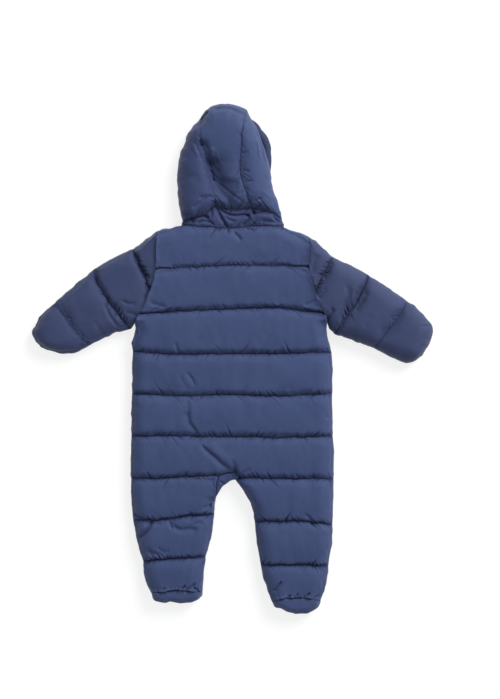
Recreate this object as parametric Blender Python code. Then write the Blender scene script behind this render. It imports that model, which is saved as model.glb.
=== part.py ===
# Baby snowsuit, channel-quilted, laid flat on its front with the back up.
# Sizes are in millimetres, turned into metres when a mesh is made.
# +Y runs towards the hood, +X to the wearer's right side, and z = 0 is the surface it lies on.
import bpy
import bmesh
import numpy as np

# Driving dimensions
seam_z = 13.0            # height of the side seams, where the front and back panels meet
seam_gap = 0.3           # clearance between neighbouring pieces
rim_wall = 2.6           # wall at a side seam
stitch_wall = 9.0        # wall at a quilting line of the back and the sleeves
front_stitch_wall = 8.0
sole_wall = 14.0
back_crest = 11.5        # how far a baffle rises above its quilting lines
sleeve_crest = 9.0
front_crest = 9.0
round_reach = 24.0       # distance over which a baffle rounds up from a stitched line
rim_reach = 26.0
slit = 0.4               # space between the two layers of a flattened tube
fold_wall = 5.0          # wall at the folded edge of a tube
inset_reach = 6.0        # distance over which an inset at a border dies out
on_border = 0.45         # a place this close to a curve counts as on it
weld_cell = 0.02         # outer places in one cell of this size are one vertex
# How much fuller an underside is than the side above it, before the surface flattens it
front_fullness = 1.25
sleeve_fullness = 1.25
sole_fullness = 1.3
neck_fullness = 1.4

hood_seam_z = 9.2
hood_wall = 9.0
hood_base = 10.0         # height of the hood beside its gathered edge
hood_crest = 17.0        # how far it rises from there
hood_rise = 30.0         # distance over which it does
hood_round = 34.0        # distance over which it rounds down to its sides
hood_seam_dip = dict(depth=2.0, width=5.0)
crown_swell = dict(height=6.0, y=365.0, width=45.0)
brow_y = (297.0, 307.0)  # the right side's wall at the rim grows over this stretch
band_round = 4.0         # its edges are cut off short of a full round by band_edge
band_edge = 2.5
collar_crest = 3.0
collar_edge_wall = 3.0

zip_half_width = 12.3
zip_opening_y = -150.0   # lower end of the zip's opening
zip_end_y = -142.0       # lower end of its tapes
zip_top_y = 219.0
front_neck_y = 205.5     # the neck seam beside the zip
tape_z = (9.4, 11.0)
chain_half_width = 2.8
chain_z = (7.2, 9.4)
slider_half_width = 4.6
slider_y = (190.0, 204.0)
pin_y = 196.0
pin_z = 2.3
pin_radius = 0.7
ear_gap = 0.3            # between the slider's ears and the tab's knuckle
ear_wall = 1.2
ear_drop = 1.7           # how far the ears reach below the pin
ear_half_length = 2.2
knuckle_radius = 1.9
knuckle_hole_radius = 1.05
knuckle_half_width = 2.0
knuckle_clear = 0.4      # between the knuckle and the slider above it
tab_length = 26.0
tab_half_width = 3.4
tab_neck_half_width = 1.8
tab_neck_y = (190.0, 194.7)
tab_plate_top_y = 192.0
tab_thickness = 1.2
joint_overlap = 0.8      # how far the ears run into the slider's body

navy = (0.052, 0.071, 0.165)
navy_trim = (0.030, 0.042, 0.105)
steel = (0.42, 0.43, 0.46)

# Quilting lines and seams of the body, from the left side to the right side: x, y
neck = [(-121, 203), (-100, 208), (-82, 210), (-55, 210), (-7, 207), (41, 211), (81, 208), (100, 202),
        (122, 194)]
body_lines = [
    neck,
    [(-122, 142), (-60, 145), (-1, 148), (60, 148), (122, 146)],
    [(-149, 71), (-78, 75), (-6, 78), (66, 80), (146, 72)],
    [(-159, 11), (-81, 6), (-1, 7), (78, 7), (158, 10)],
    [(-160, -56), (-81, -60), (-1, -58), (78, -60), (159, -56)],
    [(-161, -124), (-81, -124), (-1, -125), (78, -126), (160, -124)],
]
# Outer borders of those rows, from top to bottom
left_sides = [
    [(-121, 203), (-121.5, 170), (-122, 142)],
    [(-122, 142), (-125, 125), (-138, 88), (-149, 71)],
    [(-149, 71), (-154, 58), (-154, 44), (-160, 26), (-159, 11)],
    [(-159, 11), (-159.5, -22), (-160, -56)],
    [(-160, -56), (-161, -90), (-161, -124)],
    [(-161, -124), (-162, -160), (-162, -192)],
]
right_sides = [
    [(122, 194), (122, 170), (122, 146)],
    [(122, 146), (125, 128), (137, 85), (146, 72)],
    [(146, 72), (150, 58), (149, 46), (154, 24), (158, 10)],
    [(158, 10), (159, -22), (159, -56)],
    [(159, -56), (159, -90), (160, -124)],
    [(160, -124), (161, -160), (161, -192)],
]
# The lowest line of the body, in the stretches that lie over each leg and over the gusset
seat_left = [(-162, -192), (-122, -192), (-79, -189), (-23, -187)]
seat_gusset_left = [(-23, -187), (-8, -182.5), (4.5, -180.5)]
seat_gusset_right = [(4.5, -180.5), (14, -189)]
seat_right = [(14, -189), (47, -191), (100, -192), (161, -192)]
gusset_hem = [(-20, -213), (-10, -201), (-2, -196.8), (4, -195.2)]
gusset_corners = ((0.8, -0.6), (-4, -5))     # from the ends of its upper seam to those of its hem
gusset_wall = 7.0
gusset_crest = 3.0
crotch_left = [(-0.6, -194), (-2.5, -197), (-10, -201), (-20, -213), (-26, -222.5), (-29, -236), (-30, -248)]
crotch_right = [(0.6, -193.6), (2.5, -195.6), (6, -195.6), (10.4, -202), (17, -211), (23, -221), (28, -230),
                (33, -241), (35, -260)]
left_inseam = [(-26, -222.5), (-29, -236), (-30, -248)]
# The fronts: their neck seams, where their lines end at the zip or the front seam, and the edge
# below the zip, as shares of the zip's half width
front_neck = {
    "left": [(-121, 203), (-100, 207.5), (-82, 208.5), (-50, 207.5), (-zip_half_width, front_neck_y)],
    "right": [(zip_half_width, front_neck_y), (50, 207.5), (81, 206.5), (100, 201.5), (122, 194)],
}
front_line_ends = (147, 78, 7, -58, -125)
front_seat_y = -188
zip_taper = [(1.0, zip_opening_y), (0.35, -158), (0.07, -166)]
front_seam_top_y = -178
# Leg rows: the line that ends each row, and its two borders
left_leg = [
    ([(-158, -259), (-102, -256), (-78, -252), (-30, -248)],
     [(-162, -192), (-161, -228), (-158, -259)], [(-23, -187), (-26.2, -208), (-29, -236), (-30, -248)]),
    ([(-142, -324), (-109, -320), (-83, -318), (-43, -317)],
     [(-158, -259), (-152, -290), (-142, -324)], [(-30, -248), (-34, -280), (-43, -317)]),
    ([(-131, -374), (-109, -371), (-80, -369), (-48, -373)],
     [(-142, -324), (-140, -350), (-131, -374)], [(-43, -317), (-47, -345), (-48, -373)]),
]
right_leg = [
    ([(35, -260), (72, -260), (110, -260), (160, -265)],
     [(14, -189), (9, -197), (17, -211), (28, -230), (33, -241), (35, -260)],
     [(161, -192), (160, -230), (160, -265)]),
    ([(45, -329), (103, -329), (153, -331)],
     [(35, -260), (39, -295), (45, -329)], [(160, -265), (157, -300), (153, -331)]),
    ([(62, -387), (91, -382), (114, -382), (141, -386)],
     [(45, -329), (52, -360), (62, -387)], [(153, -331), (149, -358), (141, -386)]),
]
# Soles: heel seam on the back, toe seam on the front, and the fold at the foot's end
soles = {
    "left": dict(heel=[(-131, -374), (-109, -371), (-80, -369), (-48, -373)],
                 toe=[(-131, -374), (-116, -352), (-90, -342), (-64, -351), (-48, -373)],
                 end=[(-129, -380), (-119, -388), (-103, -390.5), (-78, -391), (-58, -388), (-48.5, -379)]),
    "right": dict(heel=[(62, -387), (91, -382), (114, -382), (141, -386)],
                  toe=[(62, -387), (78, -364), (102, -354), (126, -362), (141, -386)],
                  end=[(64.5, -392), (76, -401), (92, -406), (110, -408), (127, -405), (139.5, -392)]),
}
# Sleeves: the body sides that hold the armhole, the shoulder's border, the first quilting line up
# to the armhole, then one row for each baffle: the line that ends it, its upper and lower border
sleeves = {
    "left": dict(
        body=left_sides,
        shoulder=[(-121, 203), (-138, 190), (-159, 174)],
        first_line=[(-159, 174), (-140, 134)],
        rows=[([(-220, 143), (-216, 122), (-199, 93), (-182, 71), (-163, 47)],
               [(-159, 174), (-190, 161), (-220, 143)], [(-154, 58), (-159, 51), (-163, 47)]),
              ([(-282, 94), (-262, 60), (-244, 38), (-230, 20)],
               [(-220, 143), (-252, 118), (-282, 94)], [(-163, 47), (-195, 37), (-230, 20)]),
              ([(-308, 70), (-319, 56), (-321, 42), (-316, 28), (-303, 18)],
               [(-282, 94), (-296, 83), (-308, 70)], [(-230, 20), (-258, 8), (-284, 11), (-303, 18)])]),
    "right": dict(
        body=right_sides,
        shoulder=[(122, 194), (140, 181), (160, 162)],
        first_line=[(160, 162), (139, 122)],
        rows=[([(218, 132), (201, 94), (185, 71), (163, 38)],
               [(160, 162), (190, 148), (218, 132)], [(150, 58), (155, 46), (163, 38)]),
              ([(279, 90), (256, 54), (226, 16)],
               [(218, 132), (250, 112), (279, 90)], [(163, 38), (195, 27), (226, 16)]),
              ([(302, 74), (318, 55), (321, 42), (316, 27), (303, 4)],
               [(279, 90), (292, 83), (302, 74)], [(226, 16), (254, 2), (280, -7), (303, 4)])]),
}
# Hood and collar
gather_left = [(-81, 219), (-70, 223), (-60, 226), (-46, 229), (-36, 236), (-26, 245)]
gather_centre = [(-26, 245), (0, 237), (31, 240)]
gather_right = [(31, 240), (52, 237), (80, 221)]
hood_seam_left = [(-26, 245), (-31, 269), (-39, 309), (-50, 346), (-50, 371), (-43, 397)]
hood_seam_right = [(31, 240), (26, 252), (19, 269), (14, 287), (12.8, 300), (13, 325), (16, 358), (22, 398)]
hood_side_left = [(-81, 219), (-86, 250), (-88.5, 285), (-88, 308), (-83.5, 328), (-76, 343), (-75, 354),
                  (-66, 367.5), (-55, 379), (-43, 397)]
hood_side_right = [(80, 221), (74, 246), (65, 272), (62, 298)]
hood_brow_right = [(62, 298), (57, 320), (49, 341), (41, 364), (22, 398)]
hood_cross_right = [(12.8, 300), (36, 300), (62, 298)]
crown = [(-43, 397), (-27, 405), (-10, 408), (8, 405), (22, 398)]
opening_left = [(-45, 222), (-58, 255), (-68, 300), (-70, 330), (-62, 355), (-46, 376), (-41, 384)]
opening_top = [(-32, 387), (-10, 393), (16, 388)]
opening_right = [(45, 222), (52, 245), (57, 270), (61.5, 294)]
band_outer = [(-44, 222), (-57, 255), (-66.5, 300), (-68.5, 330), (-60.5, 354), (-44, 374), (-27, 388),
              (-6, 390.5), (20, 385), (34, 381), (47, 366), (57, 352), (63, 325), (61, 294), (51, 245),
              (44, 222)]
band_inner = [(-32, 222), (-44, 258), (-54, 300), (-56, 328), (-50, 346), (-36, 362), (-20, 373), (-4, 376),
              (18, 372), (30, 366), (40, 354), (48, 338), (51, 318), (49, 294), (39, 250), (32, 222)]
# Collar: points half-way up its two ends, and the edges of the two parts under the neck
collar_left_end = (-82, 215)
collar_right_end = (82, 214)
collar_under = dict(neck=(50, 209.8), neck_y=207.4, edge_y=(208, 219), left=(-46, 220.6), right=(46, 219.6))

# Large folds: start, end, depth and half width. A negative depth is a ridge.
back_folds = [
    dict(start=(-72, -64), end=(-68, -98), depth=3.5, width=7),
    dict(start=(-64, -100), end=(-47, -131), depth=4.0, width=7),
    dict(start=(-47, -131), end=(2, -178), depth=3.5, width=8),
    dict(start=(2, 202), end=(24, 184), depth=2.5, width=7),
]
hood_folds = [
    dict(start=(-24, 284), end=(18, 250), depth=8.0, width=10),
    dict(start=(-55, 325), end=(-45, 290), depth=7.0, width=10),
    dict(start=(-62, 284), end=(-34, 262), depth=-4.0, width=10),
    dict(start=(0, 395), end=(26, 366), depth=2.5, width=6),
    dict(start=(34, 345), end=(46, 280), depth=-4.0, width=12),
]


def along(points, places):
    """Places at the given shares (0 to 1) of the length of a smooth curve through the points."""
    points = np.array(points, float)
    ends = np.vstack([2 * points[0] - points[1], points, 2 * points[-1] - points[-2]])
    t = np.linspace(0, 1, 16, endpoint=False)[:, None]
    pieces = []
    for before, start, end, after in zip(ends, ends[1:], ends[2:], ends[3:]):
        pieces.append(0.5 * (2 * start + (end - before) * t
                             + (2 * before - 5 * start + 4 * end - after) * t ** 2
                             + (3 * start - before - 3 * end + after) * t ** 3))
    fine = np.vstack(pieces + [points[-1:]])
    run = np.concatenate([[0], np.cumsum(np.linalg.norm(np.diff(fine, axis=0), axis=1))])
    wanted = np.asarray(places) * run[-1]
    return np.stack([np.interp(wanted, run, fine[:, k]) for k in (0, 1)], axis=1)


def even(count):
    return np.linspace(0, 1, count + 1)


def towards_ends(count):
    """Shares that crowd towards 0 and 1, where a baffle is steepest."""
    return (1 - np.cos(np.pi * even(count))) / 2


def joined(*runs):
    """Sampled stretches that meet end to end, as one border."""
    return np.vstack([runs[0]] + [run[1:] for run in runs[1:]])


def coons(first, last, left, right):
    """Blend four sampled borders into a grid of places."""
    across = even(len(first) - 1)[None, :, None]
    steps = [np.linalg.norm(np.diff(side, axis=0), axis=1) for side in (left, right)]
    run = np.concatenate([[0], np.cumsum(steps[0] if steps[0].sum() > steps[1].sum() else steps[1])])
    down = (run / run[-1])[:, None, None]
    corners = ((1 - across) * (1 - down) * first[0] + across * (1 - down) * first[-1]
               + (1 - across) * down * last[0] + across * down * last[-1])
    sides = (1 - across) * left[:, None] + across * right[:, None]
    return (1 - down) * first + down * last + sides - corners


def inset(grid, start, end, axis):
    """Slide a grid's places along one axis, in from its first and last border."""
    lines = np.moveaxis(grid, axis, 0)
    moved = lines.copy()
    for k in range(lines.shape[1]):
        run = np.concatenate([[0], np.cumsum(np.linalg.norm(np.diff(lines[:, k], axis=0), axis=1))])
        total = run[-1]
        if total < 1e-6:
            continue
        first, last = min(start, total / 3), min(end, total / 3)
        wanted = run + first * np.exp(-run / inset_reach) - last * np.exp((run - total) / inset_reach)
        for c in (0, 1):
            moved[:, k, c] = np.interp(wanted, run, lines[:, k, c])
    return np.moveaxis(moved, 0, axis)


def distance(plan, curves):
    """Distance from each place to the nearest of some curves."""
    nearest = np.full(plan.shape[:2], np.inf)
    for curve in curves:
        places = along(curve, even(60))
        start, step = places[:-1], np.diff(places, axis=0)
        offset = plan[:, :, None] - start
        share = np.clip((offset * step).sum(-1) / np.maximum((step ** 2).sum(-1), 1e-9), 0, 1)
        away = np.linalg.norm(offset - share[..., None] * step, axis=-1)
        nearest = np.minimum(nearest, away.min(-1))
    return np.where(nearest < on_border, 0, nearest)


def rounded(away, reach):
    """Quarter-round rise from 0 on a line to 1 at the given reach."""
    return np.sqrt(1 - (1 - np.clip(away / reach, 0, 1)) ** 2)


def folds(plan, table):
    """Depth of the large folds at each place, as a soft trough along each one's line."""
    depth = np.zeros(plan.shape[:2])
    for fold in table:
        away = distance(plan, [[fold["start"], fold["end"]]])
        depth += fold["depth"] * np.exp(-(away / fold["width"]) ** 2)
    return depth


def puffed(plan, rims, stitches, crest, rim=rim_wall, stitch=stitch_wall):
    """Wall thickness of quilted cloth: thin at its rims, fuller at quilting lines, full between."""
    over_rim = rounded(distance(plan, rims), rim_reach) if rims else 1.0
    over_stitch = rounded(distance(plan, stitches), round_reach) if stitches else 1.0
    return rim + (stitch - rim + crest * over_stitch) * over_rim


def at_height(plan, z):
    return np.dstack([plan, np.broadcast_to(z, plan.shape[:2])])


def material(name, colour, roughness, metallic=0.0):
    made = bpy.data.materials.new(name)
    made.use_nodes = True
    shader = made.node_tree.nodes["Principled BSDF"]
    shader.inputs["Base Color"].default_value = (*colour, 1)
    shader.inputs["Roughness"].default_value = roughness
    shader.inputs["Metallic"].default_value = metallic
    return made


def add_mesh(name, vertices, faces, colour, roughness=0.55, metallic=0.0):
    """One object of the snowsuit from millimetre vertices, its faces turned outwards."""
    mesh = bpy.data.meshes.new(name)
    mesh.from_pydata(np.asarray(vertices) / 1000, [], faces)
    shape = bmesh.new()
    shape.from_mesh(mesh)
    bmesh.ops.recalc_face_normals(shape, faces=shape.faces)
    if shape.calc_volume(signed=True) < 0:
        bmesh.ops.reverse_faces(shape, faces=shape.faces)
    shape.to_mesh(mesh)
    shape.free()
    mesh.materials.append(material(name, colour, roughness, metallic))
    mesh.shade_smooth()
    thing = bpy.data.objects.new(name, mesh)
    snowsuit.objects.link(thing)
    return thing


def wall(name, sheets, colour=navy):
    """A closed wall from sheets, each a pair of outer and inner grids.

    Outer places that coincide are joined, the inner places follow them, and what is left open
    at the borders is closed between outer and inner.
    """
    outer = np.vstack([sheet[0].reshape(-1, 3) for sheet in sheets])
    inner = np.vstack([sheet[1].reshape(-1, 3) for sheet in sheets])
    cells = np.floor(outer / weld_cell + 0.317)
    _, first, same = np.unique(cells, axis=0, return_index=True, return_inverse=True)
    same = same.ravel()
    count = len(first)
    faces = []
    edges = {}
    start = 0
    for grid, _ in sheets:
        rows, columns = grid.shape[:2]
        for i in range(rows - 1):
            for j in range(columns - 1):
                corner = start + i * columns + j
                around = same[[corner, corner + 1, corner + columns + 1, corner + columns]]
                face = [int(v) for k, v in enumerate(around) if v != around[k - 1]]
                if len(face) < 3:
                    continue
                faces.append(face)
                for a, b in zip(face, face[1:] + face[:1]):
                    edges.setdefault(frozenset((a, b)), []).append((a, b))
        start += rows * columns
    open_edges = [uses[0] for uses in edges.values() if len(uses) == 1]
    closing = [[b, a, a + count, b + count] for a, b in open_edges]
    back_faces = [[v + count for v in reversed(face)] for face in faces]
    vertices = np.vstack([outer[first], inner[first]])
    return add_mesh(name, vertices, faces + back_faces + closing, colour)


borders = ("first", "last", "left", "right")


def seam_in(plan, sides, share=0.7):
    """Draw a grid in from the borders that meet a neighbouring piece, by a share of the seam's gap."""
    clear = {side: seam_gap * share if side in sides else 0.0 for side in borders}
    plan = inset(plan, clear["first"], clear["last"], 0)
    return inset(plan, clear["left"], clear["right"], 1)


def row_grid(upper, lower, left, right, rows, columns):
    """Grid between two lines, its rows crowded towards both."""
    steps = towards_ends(rows)
    upper = along(upper, even(columns)) if isinstance(upper, list) else upper
    lower = along(lower, even(columns)) if isinstance(lower, list) else lower
    return coons(upper, lower, along(left, steps), along(right, steps))


def make_back():
    """Back panel: six baffles down the body and three down each leg, in one piece."""
    left_count, gusset_left, gusset_right, right_count = 9, 2, 1, 10
    columns = left_count + gusset_left + gusset_right + right_count
    seat = joined(along(seat_left, even(left_count)), along(seat_gusset_left, even(gusset_left)),
                  along(seat_gusset_right, even(gusset_right)), along(seat_right, even(right_count)))
    lines = [along(line, even(columns)) for line in body_lines] + [seat]
    plans = []
    for k, (upper, lower) in enumerate(zip(lines, lines[1:])):
        plan = row_grid(upper, lower, left_sides[k], right_sides[k], 6, columns)
        plans.append(seam_in(plan, ("first",) if k == 0 else ()))
    for leg, upper, count in ((left_leg, seat_left, left_count), (right_leg, seat_right, right_count)):
        for k, (lower, left, right) in enumerate(leg):
            plan = row_grid(upper, lower, left, right, 6, count)
            plans.append(seam_in(plan, ("last",) if k == 2 else ()))
            upper = lower
    rims = left_sides[3:] + right_sides[3:]
    rims += [side for _, left, right in left_leg[1:] + right_leg for side in (left, right)]
    rims += [left_leg[0][1], left_inseam, neck[:3], neck[6:], left_sides[2][2:], right_sides[2][2:]]
    stitches = body_lines[1:] + [seat_left, seat_right, neck[2:7], seat_gusset_left, seat_gusset_right]
    stitches += [lower for lower, _, _ in left_leg + right_leg]
    sheets = []
    base = seam_z + seam_gap
    for plan in plans:
        thick = puffed(plan, rims, stitches, back_crest) - folds(plan, back_folds)
        sheets.append((at_height(plan, base + np.maximum(thick, rim_wall)), at_height(plan, base)))
    wall("back", sheets)


def front_body_plans(side):
    """Grids of one front's body, from the neck seam down to the seat line, and its edge at the middle."""
    sign = -1 if side == "left" else 1
    edge, meeting = sign * zip_half_width, sign * seam_gap / 2
    seat = seat_left if sign < 0 else seat_right[1:]
    plans = []
    upper, above = front_neck[side], front_neck_y
    for k, border in enumerate(left_sides if sign < 0 else right_sides):
        if k < len(front_line_ends):
            below = front_line_ends[k]
            lower, end = [p for p in body_lines[k + 1] if p[0] * sign > zip_half_width + 5], (edge, below)
            middle = [(edge, above), end]
        else:
            lower, end = seat, (meeting, front_seat_y)
            middle = [(edge, above)] + [(share * edge, y) for share, y in zip_taper]
            middle += [(meeting, front_seam_top_y), end]
        lower = lower + [end] if sign < 0 else [end] + lower
        left, right = (border, middle) if sign < 0 else (middle, border)
        plan = row_grid(upper, lower, left, right, 6, 11)
        plans.append(seam_in(plan, ("first",) if k == 0 else ()))
        upper, above = lower, below
    return plans, upper


def make_fronts():
    """Left and right front, each with its leg, up to the zip and down to the toe seam."""
    for side, sign in (("left", -1), ("right", 1)):
        outer_sides = left_sides if sign < 0 else right_sides
        leg = left_leg if sign < 0 else right_leg
        crotch = crotch_left if sign < 0 else crotch_right
        edge = sign * zip_half_width
        plans, seat = front_body_plans(side)
        upper = seat
        for k, (line, left, right) in enumerate(leg):
            lower = line if k < 2 else soles[side]["toe"]
            if k == 0:
                inseam = [(sign * seam_gap / 2, front_seat_y)] + crotch
                left, right = (left, inseam) if sign < 0 else (inseam, right)
            plan = row_grid(upper, lower, left, right, 6, 11)
            plans.append(seam_in(plan, ("last",) if k == 2 else ()))
            upper = lower
        rims = outer_sides[3:] + [leg[0][1 if sign < 0 else 2], neck[:3] if sign < 0 else neck[6:]]
        rims += [outer_sides[2][2:], crotch, [(edge, front_neck_y), (edge, zip_opening_y)]]
        rims += [border for _, left, right in leg[1:] for border in (left, right)]
        stitches = body_lines[1:] + [seat, soles[side]["toe"]] + [line for line, _, _ in leg[:2]]
        sheets = []
        for plan in plans:
            thick = puffed(plan, rims, stitches, front_crest, stitch=front_stitch_wall)
            thick = np.minimum(front_fullness * np.minimum(thick, seam_z), seam_z)
            sheets.append((at_height(plan, seam_z - thick), at_height(plan, seam_z)))
        wall("front_" + side, sheets)


def make_gusset():
    """Crotch gusset: the small lens of cloth where the legs meet."""
    upper = joined(along(left_leg[0][2], np.linspace(0.5, 0, 7)), along(seat_gusset_left, even(4)),
                   along(seat_gusset_right, even(2)))
    hem = [tuple(upper[0] + gusset_corners[0])] + gusset_hem + [tuple(upper[-1] + gusset_corners[1])]
    lower = along(hem, even(12))
    plan = coons(upper, lower, along([upper[0], lower[0]], even(4)), along([upper[-1], lower[-1]], even(4)))
    plan = inset(inset(plan, 2.5 * seam_gap, 0, 0), 0, 6 * seam_gap, 1)
    thick = puffed(plan, [gusset_hem], [seat_gusset_left], gusset_crest, stitch=gusset_wall)
    base = seam_z + seam_gap
    wall("crotch_gusset", [(at_height(plan, base + thick), at_height(plan, base))])


def tube_sheets(plans, rims, stitches, crest, middle, inner_plans):
    """Upper and lower sheets of a flattened tube, joined along its rims."""
    sheets = []
    for plan, inside in zip(plans, inner_plans):
        full = puffed(plan, rims, stitches, crest, rim=0.0)
        snug = distance(inside, rims) > 0
        space = np.where(snug, slit / 2, 0)
        lower = np.minimum(sleeve_fullness * full, middle)
        sheets.append((at_height(plan, middle + full), at_height(inside, middle + space)))
        sheets.append((at_height(plan, middle - lower), at_height(inside, middle - space)))
    return sheets


def make_sleeves():
    """Sleeves: flattened tubes, open at the armhole and closed in a mitten at the end."""
    for side, shape in sleeves.items():
        count = 4
        body = shape["body"]
        steps = towards_ends(6)
        above = joined(along(body[0], even(2)), along(body[1], steps[[0, 2, 3]]))
        below = joined(along(body[1], steps[3:]), along(body[2], steps[:3]))
        columns = count + len(below) - 1
        first_line = shape["first_line"] + [tuple(above[-1])]
        near = coons(above, along(first_line, even(count)), along(shape["shoulder"], towards_ends(4)),
                     np.repeat(above[-1:], 5, axis=0))
        upper = joined(along(first_line, even(count)), below)
        plans = [near]
        for lower, top, bottom in shape["rows"]:
            bottom = [tuple(below[-1])] + bottom[1:] if len(plans) == 1 else bottom
            lower = along(lower, even(columns))
            plans.append(row_grid(upper, lower, top, bottom, 5, columns))
            upper = lower
        rims = [shape["shoulder"], shape["rows"][-1][0]]
        rims += [border for _, top, bottom in shape["rows"] for border in (top, bottom)]
        stitches = [first_line, [tuple(place) for place in above], [tuple(place) for place in below]]
        stitches += [row[0] for row in shape["rows"][:-1]]
        inner = [inset(plans[0], fold_wall, 0, 1)]
        inner += [inset(plan, fold_wall, fold_wall, 1) for plan in plans[1:]]
        inner[-1] = inset(inner[-1], 0, fold_wall, 0)
        sheets = tube_sheets(plans, rims, stitches, sleeve_crest, seam_z, inner)
        # the armhole is drawn away from the body by the seam's gap
        away = 2 * seam_gap * (-1 if side == "left" else 1)
        for sheet in sheets:
            for grid in sheet:
                grid[..., 0] += away
        wall("sleeve_" + side, sheets)


def make_soles():
    """Soles: an oval folded over the foot's end, from the heel seam round to the toe seam."""
    for side, shape in soles.items():
        sheets = []
        rims = [shape["end"], [shape["heel"][0], shape["end"][0]], [shape["heel"][-1], shape["end"][-1]]]
        for name, direction in (("heel", 1), ("toe", -1)):
            start = along(shape[name], even(8))
            end = along(shape["end"], even(8))
            plan = coons(start, end, along([start[0], end[0]], even(5)),
                         along([start[-1], end[-1]], even(5)))
            plan = seam_in(plan, ("first",), share=2)
            inside = inset(inset(plan, fold_wall, fold_wall, 1), 0, fold_wall, 0)
            full = puffed(plan, rims, [], 0.0, rim=0.0, stitch=sole_wall)
            full = full if direction > 0 else np.minimum(sole_fullness * full, seam_z)
            space = np.where(distance(inside, rims) > 0, slit / 2, 0)
            sheets.append((at_height(plan, seam_z + direction * full),
                           at_height(inside, seam_z + direction * space)))
        wall("sole_" + side, sheets)


def hood_top(plan, rims):
    """Upper surface of the hood: rounded at its sides, sunk along its folds and seams."""
    over = rounded(distance(plan, rims), hood_round)
    seams = distance(plan, [hood_seam_left, hood_seam_right])
    ends = distance(plan, [gather_left, gather_centre, gather_right])
    height = hood_base + hood_crest * rounded(ends, hood_rise)
    height -= hood_seam_dip["depth"] * np.exp(-(seams / hood_seam_dip["width"]) ** 2)
    swell = (plan[..., 1] - crown_swell["y"]) / crown_swell["width"]
    height += crown_swell["height"] * np.exp(-swell ** 2)
    return over * (height - folds(plan, hood_folds))


def make_hood():
    """Three-piece hood: two sides and a centre strip, each folded under to the face opening."""
    rims = [hood_side_left, hood_side_right, hood_brow_right, crown]
    # each patch: first and last border, left and right border, rows, columns, seams, folded side
    upper = {
        "left": [(gather_left, [crown[0]] * 2, hood_side_left, hood_seam_left,
                  9, 6, "first right", "left last")],
        "centre": [(gather_centre, crown, hood_seam_left, hood_seam_right,
                    10, 6, "first left right", "last")],
        "right": [(gather_right, hood_cross_right, hood_seam_right[:5], hood_side_right,
                   5, 6, "first left", "right"),
                  (hood_cross_right, [crown[-1]] * 2, hood_seam_right[4:], hood_brow_right,
                   5, 6, "left", "")],
    }
    under = {
        "left": ([gather_left[0], opening_left[0]], [crown[0], opening_left[-1]],
                 hood_side_left, opening_left, 9, 3, "first", "left"),
        "centre": (opening_top, crown, [opening_top[0], crown[0]], [opening_top[-1], crown[-1]],
                   2, 6, "left right", "last"),
        "right": ([opening_right[0], gather_right[-1]], [opening_right[-1], hood_side_right[-1]],
                  opening_right, hood_side_right, 5, 3, "first", "right"),
    }
    for name in upper:
        sheets = []
        for layer, parts in ((1, upper[name]), (-1, [under[name]])):
            for first, last, left, right, rows, columns, seams, folded in parts:
                plan = coons(along(first, even(columns)), along(last, even(columns)),
                             along(left, even(rows)), along(right, even(rows)))
                plan = seam_in(plan, seams.split(), share=1.6)
                tuck = {side: fold_wall * (side in folded) for side in borders}
                inside = inset(plan, tuck["left"], tuck["right"], 1)
                inside = inset(inside, tuck["first"], tuck["last"], 0)
                if layer > 0:
                    low, high = brow_y
                    brow = np.clip((plan[..., 1] - low) / (high - low), 0, 1) if name == "right" else 0
                    at_rim = distance(plan, rims) == 0
                    outer = hood_seam_z + hood_top(plan, rims) + np.where(at_rim, brow, 1) * rim_wall
                    roof = hood_seam_z + hood_top(inside, rims) + rim_wall - hood_wall
                    inner = np.maximum(roof, hood_seam_z + slit / 2)
                else:
                    full = neck_fullness * puffed(plan, rims, [], 0, rim=0)
                    outer = np.maximum(hood_seam_z - full, 0)
                    inner = np.full(outer.shape, hood_seam_z - slit / 2)
                sheets.append((at_height(plan, outer), at_height(inside, inner)))
        wall("hood_" + name, sheets)


def make_hood_band():
    """Band round the face opening, an arch from one side of the neck over the brow to the other."""
    columns = 36
    ends = [along([band_outer[k], band_inner[k]], even(3)) for k in (0, -1)]
    plan = coons(along(band_outer, even(columns)), along(band_inner, even(columns)), *ends)
    top = hood_seam_z - seam_gap
    edges = distance(plan, [band_outer, band_inner])
    under = top * (1 - rounded(edges + band_edge, band_round))
    wall("hood_band", [(at_height(plan, under), at_height(plan, top))], navy_trim)


def make_collar():
    """Collar: over the back of the neck, folded at both sides, with its two ends at the zip."""
    edge = zip_half_width + seam_gap
    sides = {"left": [neck[2], collar_left_end, gather_left[0]],
             "right": [neck[6], collar_right_end, gather_right[-1]]}
    middle = (seam_z + hood_seam_z) / 2
    gather = joined(*[along(curve, even(6)) for curve in (gather_left, gather_centre, gather_right)])
    part = collar_under
    low, high = part["edge_y"]
    x, y = part["neck"]
    patches = [
        (neck[2:7], gather, sides["left"], sides["right"], 18, "left right", 1),
        ([neck[2], (-x, y), (-edge, part["neck_y"])], [gather_left[0], part["left"], (-edge, high)],
         sides["left"], [(-edge, low), (-edge, high)], 7, "left", -1),
        ([(edge, part["neck_y"]), (x, y), neck[6]], [(edge, high), part["right"], gather_right[-1]],
         [(edge, low), (edge, high)], sides["right"], 7, "right", -1),
    ]
    sheets = []
    rims = list(sides.values())
    for first, last, left, right, columns, folded, layer in patches:
        last = last if layer > 0 else along(last, even(columns))
        plan = coons(along(first, even(columns)), last, along(left, even(4)), along(right, even(4)))
        plan = seam_in(plan, ("first", "last"), share=2)
        inside = inset(plan, fold_wall * ("left" in folded), fold_wall * ("right" in folded), 1)
        inside = inset(inside, 0, collar_edge_wall, 0)
        full = puffed(plan, rims, [first, last], collar_crest, rim=0.0)
        outer = middle + full if layer > 0 else np.maximum(middle - neck_fullness * full, 0)
        sheets.append((at_height(plan, outer), at_height(inside, middle + layer * slit / 2)))
    wall("collar", sheets)


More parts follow.
